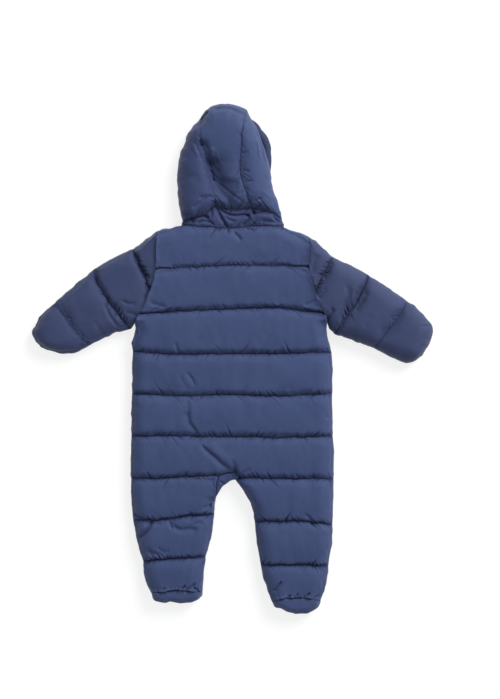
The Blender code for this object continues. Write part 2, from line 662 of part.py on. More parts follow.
def extruded(name, outline, start, end, colour, roughness, metallic=0.0, axis="y"):
    """A straight bar from an outline of its section, along x or y. The outline holds (other, z)."""
    count = len(outline)
    place = (lambda along_axis, other, z: (other, along_axis, z)) if axis == "y" \
        else (lambda along_axis, other, z: (along_axis, other, z))
    vertices = [place(run, other, z) for run in (start, end) for other, z in outline]
    sides = [[k, (k + 1) % count, (k + 1) % count + count, k + count] for k in range(count)]
    faces = sides + [list(range(count)), list(range(count, 2 * count))]
    return add_mesh(name, vertices, faces, colour, roughness, metallic)


def box_outline(half_width, low, high):
    return [(-half_width, low), (half_width, low), (half_width, high), (-half_width, high)]


def boolean(thing, tool, operation):
    """Cut or join a tool into a thing. The tool stays as a hidden guide."""
    step = thing.modifiers.new(operation.title(), "BOOLEAN")
    step.operation = operation
    step.object = tool
    tool.hide_render = True
    tool.display_type = "WIRE"
    snowsuit.objects.unlink(tool)
    cutters.objects.link(tool)


def cylinder(name, radius, half_length, sides=24):
    """A round bar along X on the pull tab's hinge axis."""
    turns = np.linspace(0, 2 * np.pi, sides, endpoint=False)
    ring = [(pin_y + radius * np.cos(turn), pin_z + radius * np.sin(turn)) for turn in turns]
    return extruded(name, ring, -half_length, half_length, steel, 0.35, 0.9, axis="x")


def bar(name, outline, ends):
    """A steel bar along Y."""
    return extruded(name, outline, ends[0], ends[1], steel, 0.35, 0.9)


def make_zip():
    """Front zip: tapes with a closed chain, a slider at the top and its hinged pull tab."""
    tape_half = zip_half_width - seam_gap
    low, high = tape_z
    section = [(-tape_half, low), (-chain_half_width, low), (-chain_half_width, chain_z[0]),
               (chain_half_width, chain_z[0]), (chain_half_width, low), (tape_half, low),
               (tape_half, high), (-tape_half, high)]
    extruded("zip", section, zip_end_y, zip_top_y, navy_trim, 0.7)

    ear_inner = knuckle_half_width + ear_gap
    ear_outer = ear_inner + ear_wall
    body_low, body_high = pin_z + knuckle_radius + knuckle_clear, chain_z[0] - seam_gap
    slider = bar("zip_slider", box_outline(slider_half_width, body_low, body_high), slider_y)
    ear_low, ear_high = pin_z - ear_drop, body_low + joint_overlap
    for name, side in (("ear_left", -1), ("ear_right", 1)):
        outline = [(side * ear_inner, ear_low), (side * ear_outer, ear_low),
                   (side * ear_outer, ear_high), (side * ear_inner, ear_high)]
        ear = bar(name, outline, (pin_y - ear_half_length, pin_y + ear_half_length))
        boolean(slider, ear, "UNION")
    boolean(slider, cylinder("pin", pin_radius, (ear_inner + ear_outer) / 2), "UNION")

    tab = cylinder("zip_pull", knuckle_radius, knuckle_half_width)
    plate_z = (pin_z - tab_thickness / 2, pin_z + tab_thickness / 2)
    boolean(tab, bar("tab_neck", box_outline(tab_neck_half_width, *plate_z), tab_neck_y), "UNION")
    plate = bar("tab_plate", box_outline(tab_half_width, *plate_z), (pin_y - tab_length, tab_plate_top_y))
    boolean(tab, plate, "UNION")
    hole = cylinder("tab_hole", knuckle_hole_radius, knuckle_half_width + 1)
    boolean(tab, hole, "DIFFERENCE")
    hinge = bpy.data.objects.new("zip_pull_hinge", None)
    hinge.location = (0, pin_y / 1000, pin_z / 1000)
    snowsuit.objects.link(hinge)
    bpy.context.view_layer.update()
    tab.parent = hinge
    tab.matrix_parent_inverse = hinge.matrix_world.inverted()


for leftover in list(bpy.data.objects):
    bpy.data.objects.remove(leftover)
snowsuit = bpy.data.collections.new("baby_snowsuit")
cutters = bpy.data.collections.new("cutters")
for group in (snowsuit, cutters):
    bpy.context.scene.collection.children.link(group)

make_back()
make_fronts()
make_gusset()
make_sleeves()
make_soles()
make_hood()
make_hood_band()
make_collar()
make_zip()
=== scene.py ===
import time
import bpy
import bmesh
import numpy as np
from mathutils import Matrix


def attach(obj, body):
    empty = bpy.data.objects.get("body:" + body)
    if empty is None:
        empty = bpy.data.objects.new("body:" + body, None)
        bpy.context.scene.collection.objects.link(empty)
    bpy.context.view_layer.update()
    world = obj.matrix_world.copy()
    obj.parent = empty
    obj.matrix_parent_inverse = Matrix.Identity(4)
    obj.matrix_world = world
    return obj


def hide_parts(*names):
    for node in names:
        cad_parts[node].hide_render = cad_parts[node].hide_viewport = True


# Baby snowsuit of quilted navy cloth, laid flat on its front with the back up.
# Tables are in millimetres: +Y runs to the hood, +X to the wearer's right side, z = 0 is the surface.

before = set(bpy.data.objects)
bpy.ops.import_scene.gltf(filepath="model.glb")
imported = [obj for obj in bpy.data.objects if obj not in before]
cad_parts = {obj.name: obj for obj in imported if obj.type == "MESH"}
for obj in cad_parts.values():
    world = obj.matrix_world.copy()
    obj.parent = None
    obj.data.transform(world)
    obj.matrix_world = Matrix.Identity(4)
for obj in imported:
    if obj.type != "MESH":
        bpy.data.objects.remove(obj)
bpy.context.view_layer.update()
print("frame loaded")

cloth = dict(
    seamHeight=13.0,      # side seams, where front and back meet
    seamGap=0.3,
    rimWall=2.6,
    stitchWall=9.0,       # wall at a quilting line
    backCrest=11.5,       # rise of a back baffle over its lines
    frontCrest=9.0,
    sleeveCrest=10.0,
    lineReach=11.5,       # steep part of a baffle beside a line
    rimReach=24.0,
    slit=0.4,             # between the two layers of a tube
    foldWall=5.0,
    mesh=1.3,             # grid spacing along the lines of what shows
    rows=36,              # grid steps across a baffle
    coarse=4,             # inner sheets keep every fourth line of the grid
    wander=1.0,           # how far a seam or line strays
)

# Quilting lines and seams of the body, from the left side to the right
neck = [(-121, 203), (-100, 208), (-82, 210), (-55, 210), (-7, 207), (41, 211), (81, 208), (100, 202),
        (122, 194)]
bodyLines = [
    neck,
    [(-122, 142), (-60, 145), (-1, 148), (60, 148), (122, 146)],
    [(-149, 71), (-78, 75), (-6, 78), (66, 80), (146, 72)],
    [(-159, 11), (-81, 6), (-1, 7), (78, 7), (158, 10)],
    [(-160, -56), (-81, -60), (-1, -58), (78, -60), (159, -56)],
    [(-161, -124), (-81, -124), (-1, -125), (78, -126), (160, -124)],
]
leftSides = [
    [(-121, 203), (-121.5, 170), (-122, 142)],
    [(-122, 142), (-125, 125), (-138, 88), (-149, 71)],
    [(-149, 71), (-154, 58), (-154, 44), (-160, 26), (-159, 11)],
    [(-159, 11), (-159.5, -22), (-160, -56)],
    [(-160, -56), (-161, -90), (-161, -124)],
    [(-161, -124), (-162, -160), (-162, -192)],
]
rightSides = [
    [(122, 194), (122, 170), (122, 146)],
    [(122, 146), (125, 128), (137, 85), (146, 72)],
    [(146, 72), (150, 58), (149, 46), (154, 24), (158, 10)],
    [(158, 10), (159, -22), (159, -56)],
    [(159, -56), (159, -90), (160, -124)],
    [(160, -124), (161, -160), (161, -192)],
]
seatLeft = [(-162, -192), (-122, -192), (-79, -189), (-23, -187)]
seatGussetLeft = [(-23, -187), (-8, -182.5), (4.5, -180.5)]
seatGussetRight = [(4.5, -180.5), (14, -189)]
seatRight = [(14, -189), (47, -191), (100, -192), (161, -192)]
gussetHem = [(-20, -213), (-10, -201), (-2, -196.8), (4, -195.2)]
crotchLeft = [(-0.6, -194), (-2.5, -197), (-10, -201), (-20, -213), (-26, -222.5), (-29, -236), (-30, -248)]
crotchRight = [(0.6, -193.6), (2.5, -195.6), (6, -195.6), (10.4, -202), (17, -211), (23, -221), (28, -230),
               (33, -241), (35, -260)]
leftLeg = [
    ([(-158, -259), (-102, -256), (-78, -252), (-30, -248)],
     [(-162, -192), (-161, -228), (-158, -259)], [(-23, -187), (-26.2, -208), (-29, -236), (-30, -248)]),
    ([(-142, -324), (-109, -320), (-83, -318), (-43, -317)],
     [(-158, -259), (-152, -290), (-142, -324)], [(-30, -248), (-34, -280), (-43, -317)]),
    ([(-131, -374), (-109, -371), (-80, -369), (-48, -373)],
     [(-142, -324), (-140, -350), (-131, -374)], [(-43, -317), (-47, -345), (-48, -373)]),
]
rightLeg = [
    ([(35, -260), (72, -260), (110, -260), (160, -265)],
     [(14, -189), (9, -197), (17, -211), (28, -230), (33, -241), (35, -260)],
     [(161, -192), (160, -230), (160, -265)]),
    ([(45, -329), (103, -329), (153, -331)],
     [(35, -260), (39, -295), (45, -329)], [(160, -265), (157, -300), (153, -331)]),
    ([(62, -387), (91, -382), (114, -382), (141, -386)],
     [(45, -329), (52, -360), (62, -387)], [(153, -331), (149, -358), (141, -386)]),
]
soles = {
    "left": dict(heel=[(-131, -374), (-109, -371), (-80, -369), (-48, -373)],
                 toe=[(-131, -374), (-116, -352), (-90, -342), (-64, -351), (-48, -373)],
                 end=[(-128, -380), (-126.5, -385.5), (-121, -389), (-107, -392), (-98, -390.5), (-87, -392.5),
                      (-71, -391.5), (-56, -388), (-48.5, -380)]),
    "right": dict(heel=[(62, -387), (91, -382), (114, -382), (141, -386)],
                  toe=[(62, -387), (78, -364), (102, -354), (126, -362), (141, -386)],
                  end=[(66, -392.5), (69, -398), (82, -403.5), (97, -408), (114, -409), (130, -404.5),
                       (138, -397), (141, -390)]),
}
sleeves = {
    "left": dict(
        body=leftSides,
        shoulder=[(-121, 203), (-138, 190), (-159, 174)],
        firstLine=[(-159, 174), (-140, 134)],
        rows=[([(-220, 143), (-216, 122), (-199, 93), (-182, 71), (-163, 47)],
               [(-159, 174), (-190, 161), (-220, 143)], [(-154, 58), (-159, 51), (-163, 47)]),
              ([(-282, 91), (-262, 60), (-244, 38), (-230, 20)],
               [(-220, 143), (-252, 117), (-282, 91)], [(-163, 47), (-195, 37), (-230, 20)]),
              ([(-309, 64), (-315, 52), (-321, 41), (-316, 28), (-306, 18)],
               [(-282, 91), (-297, 77), (-309, 64)], [(-230, 20), (-254, 8), (-280, 8), (-306, 18)])]),
    "right": dict(
        body=rightSides,
        shoulder=[(122, 194), (140, 181), (160, 162)],
        firstLine=[(160, 162), (139, 122)],
        rows=[([(218, 132), (201, 94), (185, 71), (163, 38)],
               [(160, 162), (190, 148), (218, 132)], [(150, 58), (155, 46), (163, 38)]),
              ([(279, 90), (256, 54), (226, 16)],
               [(218, 132), (250, 112), (279, 90)], [(163, 38), (195, 27), (226, 16)]),
              ([(302, 74), (318, 55), (321, 42), (316, 26), (303, 3)],
               [(279, 90), (292, 83), (302, 74)], [(226, 16), (254, 1), (282, -8.5), (303, 3)])]),
}
gatherLeft = [(-81, 219), (-70, 223), (-60, 226), (-46, 229), (-36, 236), (-26, 245)]
gatherCentre = [(-26, 245), (0, 237), (31, 240)]
gatherRight = [(31, 240), (52, 237), (80, 221)]
hoodSeamLeft = [(-26, 245), (-31, 269), (-39, 309), (-50, 346), (-50, 371), (-43, 397)]
hoodSeamRight = [(31, 240), (26, 252), (19, 269), (14, 287), (12.8, 300), (13, 325), (16, 358), (22, 398)]
hoodSideLeft = [(-81, 219), (-86, 250), (-88.5, 285), (-88, 308), (-83.5, 328), (-76, 343), (-75, 354),
                (-66, 367.5), (-55, 379), (-43, 397)]
hoodSideRight = [(80, 221), (74, 246), (65, 272), (62, 298)]
hoodBrowRight = [(62, 298), (57, 320), (49, 341), (41, 364), (22, 398)]
hoodCrossRight = [(12.8, 300), (36, 300), (62, 298)]
crown = [(-43, 397), (-27, 405), (-10, 408), (8, 405), (22, 398)]
openingLeft = [(-45, 222), (-58, 255), (-68, 300), (-70, 330), (-62, 355), (-46, 376), (-41, 384)]
openingTop = [(-32, 387), (-10, 393), (16, 388)]
openingRight = [(45, 222), (52, 245), (57, 270), (61.5, 294)]
bandOuter = [(-44, 222), (-57, 255), (-66.5, 300), (-68.5, 330), (-60.5, 354), (-44, 374), (-27, 388),
             (-6, 390.5), (20, 385), (34, 381), (47, 366), (57, 352), (63, 325), (61, 294), (51, 245),
             (44, 222)]
bandInner = [(-32, 222), (-44, 258), (-54, 300), (-56, 328), (-50, 346), (-36, 362), (-20, 373), (-4, 376),
             (18, 372), (30, 366), (40, 354), (48, 338), (51, 318), (49, 294), (39, 250), (32, 222)]

# camera, lamps and world

cameraSet = dict(height=2.6, across=0.028, along=0.0136, plane=0.013, frameHeight=1.1184, sensor=24.0)
lamps = dict(key=dict(power=332.0, place=(2.7, 3.1, 2.75), size=3.2),
             fill=dict(power=3.0, place=(-1.4, -0.6, 2.0), size=1.6))
lampAim = (0, 0, 0.02)
sky = dict(colour=(0.97, 0.985, 1.0, 1), strength=0.50)
floorSet = dict(half=3.0, level=-0.0002, white=0.24, glow=0.77)


def linked(name, data):
    # an object for the data, in the scene
    thing = bpy.data.objects.new(name, data)
    bpy.context.scene.collection.objects.link(thing)
    return thing


def makeCamera():
    # focal length = sensor height x distance to the plane / height seen in that plane
    camera = linked("camera", bpy.data.cameras.new("camera"))
    camera.location = (cameraSet["across"], cameraSet["along"], cameraSet["height"])
    camera.data.sensor_fit = "VERTICAL"
    camera.data.sensor_height = cameraSet["sensor"]
    reach = cameraSet["height"] - cameraSet["plane"]
    camera.data.lens = cameraSet["sensor"] * reach / cameraSet["frameHeight"]
    camera.data.clip_end = 50
    bpy.context.scene.camera = camera


def makeLamp(name, power, place, size):
    # disk lamp, tilted from straight down by arctan(sideways reach / drop) towards the aim
    lamp = bpy.data.lights.new(name, "AREA")
    lamp.shape = "DISK"
    lamp.energy = power
    lamp.size = size
    thing = linked(name, lamp)
    thing.location = place
    x, y, z = np.array(lampAim) - np.array(place)
    thing.rotation_euler = (float(np.arctan2(np.hypot(x, y), -z)), 0, float(np.arctan2(y, x) - np.pi / 2))


def makeWorld():
    # even light from all round
    world = bpy.data.worlds.new("studio")
    world.use_nodes = True
    back = world.node_tree.nodes["Background"]
    back.inputs["Color"].default_value = sky["colour"]
    back.inputs["Strength"].default_value = sky["strength"]
    bpy.context.scene.world = world


bpy.context.scene.view_settings.view_transform = "Standard"
makeCamera()
makeWorld()
for name, given in lamps.items():
    makeLamp(name, **given)
print("camera and light set")


# shader maths

class Wire:
    # a socket that adds Math nodes when it is used in an expression
    def __init__(self, finish, socket):
        self.finish, self.socket = finish, socket

    def math(self, operation, *others):
        return self.finish.node("ShaderNodeMath", dict(operation=operation), dict(enumerate((self,) + others)))

    def __add__(self, other):
        return self.math("ADD", other)

    def __mul__(self, other):
        return self.math("MULTIPLY", other)

    __radd__, __rmul__ = __add__, __mul__


class Finish:
    # one material and the nodes that make it; place holds the Object coordinates
    def __init__(self, name, roughness, metallic=0.0):
        self.material = bpy.data.materials.new(name)
        self.material.use_nodes = True
        self.tree = self.material.node_tree
        self.shader = self.tree.nodes["Principled BSDF"]
        self.set(Roughness=roughness, Metallic=metallic)
        self.place = self.node("ShaderNodeTexCoord", out=3)

    def node(self, kind, settings=None, sockets=None, out=0):
        made = self.tree.nodes.new(kind)
        for key, value in (settings or {}).items():
            setattr(made, key, value)
        for key, value in (sockets or {}).items():
            self.link(made.inputs[key], value)
        return Wire(self, made.outputs[out])

    def link(self, socket, value):
        if isinstance(value, Wire):
            self.tree.links.new(value.socket, socket)
        else:
            socket.default_value = value

    def set(self, **sockets):
        for key, value in sockets.items():
            self.link(self.shader.inputs[key.replace("_", " ")], value)

    def mix(self, share, first, second):
        return self.node("ShaderNodeMix", dict(data_type="RGBA"), {0: share, 6: first, 7: second}, out=2)

    def noise(self, scale, detail, roughness=0.5, place=None):
        return self.node("ShaderNodeTexNoise", None, dict(Vector=place or self.place, Scale=scale,
                                                          Detail=detail, Roughness=roughness))

    def relief(self, height, distance, strength=1.0, **under):
        return self.node("ShaderNodeBump", None,
                         dict(Height=height, Distance=distance, Strength=strength, **under))


clothFinish = dict(
    # the first colour is the dark blue of the painted shade in grooves, nicks and folds, and of the thread
    # along the lines
    threadAndShadeBlue=(0.006, 0.011, 0.046, 1), roughness=0.62, grooveRoughness=0.28, sheen=0.12, specular=0.28,
    patchScale=14.0, fineScale=420.0, weavePitch=0.0007, weaveDepth=0.00006,
    wrinkleScale=95.0, wrinkleDepth=0.0003,
)
blues = dict(      # each cloth is mottled with a dark and a light blue
    navyShell=[(0.0250, 0.0425, 0.118, 1), (0.0310, 0.0517, 0.139, 1)],
    # darker copies of the shell's blues, as painted shade: for the sleeves, and for the hood's left side and
    # the collar, which lie in shade
    navyShadedSleeve=[(0.0205, 0.0322, 0.090, 1), (0.0252, 0.0390, 0.107, 1)],
    navyShadedHoodAndCollar=[(0.0220, 0.0350, 0.103, 1), (0.0272, 0.0424, 0.122, 1)],
    navyTrim=[(0.018, 0.028, 0.082, 1), (0.023, 0.035, 0.100, 1)],
)


def clothMaterial(name):
    # colour = mottled mix of two blues, with a dark blue mixed in by a vertex attribute: painted shade in the
    # stitched grooves, nicks and deep folds, and the dark of the thread along each line; bump = weave + small
    # wrinkles, where the weave is a sine across times a sine along
    finish, given = Finish(name, clothFinish["roughness"]), clothFinish
    patchy = finish.noise(given["patchScale"], 2.0)
    fine = finish.noise(given["fineScale"], 2.0, 0.6)
    body = finish.mix(patchy * 0.75 + fine * 0.25, *blues[name])
    near = finish.node("ShaderNodeAttribute", dict(attribute_name="threadAndGrooveShade"), out=2)
    across, along = ((finish.node("ShaderNodeSeparateXYZ", None, dict(Vector=finish.place), axis)
                      * (2 * np.pi / given["weavePitch"])).math("SINE") for axis in (0, 1))
    weave = finish.relief(across * along, given["weaveDepth"])
    wrinkles = finish.noise(given["wrinkleScale"], 3.0, 0.55)
    # Base Color: painted shade and the thread's dark, mixed in by the attribute
    finish.set(Base_Color=finish.mix(near, body, given["threadAndShadeBlue"]),
               Roughness=given["roughness"] - 0.08 + patchy * 0.16 + near * given["grooveRoughness"],
               Normal=finish.relief(wrinkles, given["wrinkleDepth"], 0.8, Normal=weave),
               Sheen_Weight=given["sheen"], Sheen_Roughness=0.5, Specular_IOR_Level=given["specular"])
    return finish.material


def threadMaterial():
    # two dark blues in a fine twist
    finish = Finish("thread", 0.55)
    twist = finish.noise(900.0, 1.0)
    finish.set(Base_Color=finish.mix(twist, (0.010, 0.014, 0.045, 1), (0.020, 0.028, 0.085, 1)),
               Normal=finish.relief(twist, 0.0002), Specular_IOR_Level=0.3)
    return finish.material


def metalMaterial():
    # greys worn unevenly, with a noise stretched along the brushing as bump and roughness
    finish = Finish("brushedZipMetal", 0.32, 1.0)
    stretched = finish.node("ShaderNodeMapping", None, dict(Vector=finish.place, Scale=(900.0, 60.0, 900.0)))
    brushed = finish.noise(1.0, 2.0, place=stretched)
    finish.set(Base_Color=finish.mix(finish.noise(350.0, 2.0), (0.36, 0.37, 0.40, 1), (0.50, 0.51, 0.54, 1)),
               Roughness=0.22 + brushed * 0.22, Normal=finish.relief(brushed, 0.00005))
    return finish.material


def plasticMaterial():
    # dark blue that is dull in patches
    finish = Finish("zipPlastic", 0.35)
    worn = finish.noise(400.0, 2.0)
    finish.set(Base_Color=finish.mix(worn, (0.012, 0.017, 0.050, 1), (0.020, 0.028, 0.075, 1)),
               Roughness=0.3 + worn * 0.2)
    return finish.material


def floorMaterial():
    # faintly mottled white that glows a little
    finish, white = Finish("paleFloor", 0.85), floorSet["white"]
    finish.set(Base_Color=finish.mix(finish.noise(3.0, 2.0), (white,) * 3 + (1,), (white + 0.01,) * 3 + (1,)),
               Specular_IOR_Level=0.1, Emission_Color=(1.0, 1.0, 1.0, 1), Emission_Strength=floorSet["glow"])
    return finish.material


shell, shadedSleeveShell, shadedHoodAndCollarShell, trim = (clothMaterial(name) for name in blues)
thread, metal, plastic = threadMaterial(), metalMaterial(), plasticMaterial()


def makeFloor():
    # a wide square just under the surface that the suit lies on
    half, level = floorSet["half"], floorSet["level"]
    mesh = bpy.data.meshes.new("floor")
    mesh.from_pydata([(x, y, level) for x, y in ((-half, -half), (half, -half), (half, half), (-half, half))],
                     [], [(0, 1, 2, 3)])
    mesh.materials.append(floorMaterial())
    linked("floor", mesh)


makeFloor()


# curves, grids and smooth noise

def runOf(points):
    # length run along a row of points, 0 at the first
    return np.concatenate([[0], np.cumsum(np.linalg.norm(np.diff(points, axis=0), axis=1))])


def alongCurve(points, places):
    # Catmull-Rom curve through the points, sampled at shares of its length
    points = np.array(points, float)
    ends = np.vstack([2 * points[0] - points[1], points, 2 * points[-1] - points[-2]])
    t = np.linspace(0, 1, 24, endpoint=False)[:, None]
    parts = [0.5 * (2 * b + (c - a) * t + (2 * a - 5 * b + 4 * c - d) * t ** 2
                    + (3 * b - a - 3 * c + d) * t ** 3)
             for a, b, c, d in zip(ends, ends[1:], ends[2:], ends[3:])]
    smooth = np.vstack(parts + [points[-1:]])
    run = runOf(smooth)
    wanted = np.asarray(places) * run[-1]
    return np.stack([np.interp(wanted, run, smooth[:, axis]) for axis in (0, 1)], axis=1)


def even(count):
    # even shares from 0 to 1
    return np.linspace(0, 1, count + 1)


def crowded(count, share=0.6):
    # even shares drawn towards both ends by a cosine
    return (1 - share) * even(count) + share * (1 - np.cos(np.pi * even(count))) / 2


def joined(*runs):
    # rows of points end to end, each starting with the last point of the one before
    return np.vstack([runs[0]] + [run[1:] for run in runs[1:]])


def bulged(sides, amount, steps=8):
    # swells each side of a baffle outwards: offset = amount x (sine of its share) to the power 0.6
    swollen = []
    for side in sides:
        places = alongCurve(side, even(steps))
        run = places[-1] - places[0]
        normal = np.array([-run[1], run[0]]) / np.hypot(*run)
        swell = amount * np.sin(np.pi * even(steps)) ** 0.6
        swollen.append([tuple(place) for place in places + swell[:, None] * normal])
    return swollen


def blendGrid(first, last, left, right):
    # Coons patch: sum of the two ruled surfaces less the bilinear one
    across = even(len(first) - 1)[None, :, None]
    steps = [np.linalg.norm(np.diff(side, axis=0), axis=1) for side in (left, right)]
    run = np.concatenate([[0], np.cumsum(max(steps, key=np.sum))])
    down = (run / run[-1])[:, None, None]
    corners = ((1 - across) * (1 - down) * first[0] + across * (1 - down) * first[-1]
               + (1 - across) * down * last[0] + across * down * last[-1])
    return (1 - down) * first + down * last + (1 - across) * left[:, None] + across * right[:, None] - corners


def fourths(length, spacing=None):
    # number of grid steps for a length, a multiple of the inner sheet's coarseness
    step = cloth["coarse"] * (spacing or cloth["mesh"])
    return cloth["coarse"] * max(1, int(round(length / step)))


def rowGrid(first, last, left, right, rows, columns):
    # patch between two lines, given as tables or as places, and two sides
    first, last = (line if isinstance(line, np.ndarray) else alongCurve(line, even(columns))
                   for line in (first, last))
    return blendGrid(first, last, alongCurve(left, crowded(rows)), alongCurve(right, crowded(rows)))


def endGrid(first, last, rows):
    # patch between two rows of places, with straight sides
    return blendGrid(first, last, *(alongCurve([first[k], last[k]], even(rows)) for k in (0, -1)))


def drawIn(grid, start, end, axis, reach=6.0):
    # slides places along one axis, in from the first and last border, dying out over the reach
    lines = np.moveaxis(grid, axis, 0)
    moved = lines.copy()
    for k in range(lines.shape[1]):
        run = runOf(lines[:, k])
        total = run[-1]
        if total < 1e-6:
            continue
        first, last = min(start, total / 3), min(end, total / 3)
        wanted = run + first * np.exp(-run / reach) - last * np.exp((run - total) / reach)
        for c in (0, 1):
            moved[:, k, c] = np.interp(wanted, run, lines[:, k, c])
    return np.moveaxis(moved, 0, axis)


def tucked(plan, amount, sides):
    # draws the named borders in by an amount
    first, last, left, right = (amount * (side in sides) for side in ("first", "last", "left", "right"))
    return drawIn(drawIn(plan, left, right, 1), first, last, 0)


def seamIn(plan, sides, share=0.25):
    # half of the gap that a seam leaves between two pieces, or another share of it
    return tucked(plan, cloth["seamGap"] * share, sides)


def borderOf(plan, side):
    # the row of values along one border of a grid
    return {"first": plan[0], "last": plan[-1], "left": plan[:, 0], "right": plan[:, -1]}[side]


def shares(plan, side):
    # running share along a border
    run = runOf(borderOf(plan, side))
    return run / run[-1]


def fromSide(plan, side):
    # distance of each place from one border of its own grid, run along the grid
    axis = 0 if side in ("first", "last") else 1
    steps = np.linalg.norm(np.diff(plan, axis=axis), axis=2)
    if side in ("last", "right"):
        steps = np.flip(steps, axis)
    run = np.cumsum(steps, axis=axis)
    run = np.concatenate([np.zeros_like(np.take(run, [0], axis)), run], axis)
    return np.flip(run, axis) if side in ("last", "right") else run


def offStraights(plan, places):
    # for each straight between two places: share along it, offset of the plan from it, and its run
    for start, run in zip(places, np.diff(places, axis=0)):
        offset = plan - start
        share = np.clip((offset @ run) / max(float(run @ run), 1e-9), 0, 1)
        yield share, offset - share[..., None] * run, run


def fromCurves(plan, curves, samples=40):
    # distance of each place from the nearest of some curves, 0 where it is less than half a millimetre
    nearest = np.full(plan.shape[:2], np.inf)
    for curve in curves:
        for _, off, _ in offStraights(plan, alongCurve(curve, even(samples))):
            nearest = np.minimum(nearest, np.hypot(off[..., 0], off[..., 1]))
    return np.where(nearest < 0.45, 0, nearest)


def rounded(away, reach):
    # quarter-round: sqrt(1 - (1 - away/reach) squared)
    return np.sqrt(1 - (1 - np.clip(away / reach, 0, 1)) ** 2)


def ramp(values, start, end):
    # 0 before start, 1 after end, smooth between
    t = np.clip((values - start) / (end - start), 0, 1)
    return t * t * (3 - 2 * t)


def bell(off, width):
    # exp(-(off / width) squared)
    return np.exp(-(off / width) ** 2)


def noiseLine(x, seed, knots=512):
    # smooth noise of one value, -1 to 1, one knot for each unit
    table = np.random.default_rng(seed).uniform(-1, 1, knots)
    cell = np.floor(x).astype(int)
    f = x - cell
    f = f * f * (3 - 2 * f)
    return table[cell % knots] * (1 - f) + table[(cell + 1) % knots] * f


def noisePlane(x, y, seed, knots=128):
    # smooth noise of two values, -1 to 1
    table = np.random.default_rng(seed).uniform(-1, 1, (knots, knots))
    cx, cy = np.floor(x).astype(int), np.floor(y).astype(int)
    fx, fy = x - cx, y - cy
    fx, fy = fx ** 3 * (fx * (6 * fx - 15) + 10), fy ** 3 * (fy * (6 * fy - 15) + 10)
    near, far = [table[cx % knots, (cy + k) % knots] * (1 - fx) + table[(cx + 1) % knots, (cy + k) % knots] * fx
                 for k in (0, 1)]
    return near * (1 - fy) + far * fy


def noiseSum(x, y, *layers):
    # layers of plane noise: amount x noise(x / width, y / height)
    return sum(amount * noisePlane(x / width, y / height, seed) for amount, width, height, seed in layers)


def strayed(plan):
    # every seam and line strays a little, by the same noise for all pieces so that they still meet,
    # and none does along the zip
    x, y = plan[..., 0], plan[..., 1]
    calm = 1 - np.exp(-(np.abs(x) / 22) ** 4) * (y > -170) * (y < 235)
    shift = np.stack([noiseSum(x, y, (1, 13, 11, 5), (0.5, 6, 6, 6)),
                      noiseSum(x, y, (1, 11, 13, 7), (0.5, 6, 6, 8))], axis=-1)
    return plan + (cloth["wander"] * calm)[..., None] * shift


# nicks beside the stitched lines, and creases

gather = dict(every=4.0, depth=6.0, length=4.0, width=1.05, slant=0.9, rare=0.06, rareLength=2.2,
              lip=0.3, lipWidth=2.6, bend=0.012, ripple=0.45, run=1500, spread=22,
              zero=700)      # added to every place along a line, so that none is negative


def gathers(run, away, seed, strength=1.0, stretch=1.0):
    # nicks beside a stitched line: narrow troughs that leave it aslant, each a bell across and along,
    # with a low lip at either side, and the painted shade in each nick; every place along the line has its own,
    # whatever patch asks
    chance = np.random.default_rng(seed)
    count = int(gather["run"] / gather["every"])
    starts = (np.arange(count) + chance.uniform(-0.45, 0.45, count)) * gather["every"]
    sizes = chance.uniform(0, 1, count) ** 1.7
    lengths = stretch * gather["length"] * chance.uniform(0.6, 1.7, count)
    lengths = lengths * np.where(chance.uniform(size=count) < gather["rare"], gather["rareLength"], 1)
    slants = gather["slant"] * chance.uniform(0.5, 1.8, count) * np.sign(noiseLine(starts / 30, seed + 5))
    widths = gather["width"] * chance.uniform(0.8, 1.5, count)
    trough, nickShade = np.zeros(away.shape), np.zeros(away.shape)
    close = (starts > run.min() - gather["spread"]) & (starts < run.max() + gather["spread"])
    for k in np.flatnonzero(close):
        off = run - starts[k] - slants[k] * away + gather["bend"] * slants[k] * away ** 2
        along = bell(away, lengths[k])
        nick = bell(off, widths[k]) * along
        trough += sizes[k] * (nick - gather["lip"] * bell(off, gather["lipWidth"] * widths[k]) * along)
        # painted shade of the nick, darkest where it is deepest
        nickShade = np.maximum(nickShade, np.sqrt(sizes[k]) * nick)
    rise = 1 - np.exp(-away / 0.8)
    ripple = gather["ripple"] * noiseLine(run / 4.5, seed + 3) * np.exp(-away / 5)
    return -strength * (gather["depth"] * trough + ripple) * rise, nickShade


def crease(plan, path, depth, width, lean=0.0, fade=0.25):
    # trough (or ridge, if depth < 0) along a path: -depth x bell of the distance, steeper on one side,
    # fading at both ends
    places = alongCurve(path, even(24))
    low, high = places.min(0) - 5 * width, places.max(0) + 5 * width
    if (plan.max((0, 1)) < low).any() or (plan.min((0, 1)) > high).any():
        return np.zeros(plan.shape[:2])
    nearest = np.full(plan.shape[:2], np.inf)
    side, share = np.zeros(plan.shape[:2]), np.zeros(plan.shape[:2])
    for k, (along, off, run) in enumerate(offStraights(plan, places)):
        away = np.hypot(off[..., 0], off[..., 1])
        better = away < nearest
        nearest = np.where(better, away, nearest)
        side = np.where(better, np.sign(run[0] * off[..., 1] - run[1] * off[..., 0]), side)
        share = np.where(better, (k + along) / (len(places) - 1), share)
    wide = width * np.where(side > 0, 1 + lean, 1 - lean)
    return -depth * ramp(np.minimum(share, 1 - share) / fade, 0, 1) * bell(nearest, wide)


def creased(plan, table):
    # sum of the creases in a table
    return sum(crease(plan, *entry) for entry in table)


def shaded(near, folds, share=0.35):
    # painted shade in deep folds, added to the painted line shade by a share that grows with depth from 1.5 to
    # 5.5 mm
    return np.maximum(near, share * np.clip((-folds - 1.5) / 4, 0, 1))


# cloth simulation and walls

drape = dict(growth=0.12, frames=14, quality=4, mass=0.02, tension=25.0, shear=6.0, bending=0.02, pressure=6.0,
             cap=3.0, scale=100.0, levels=8)


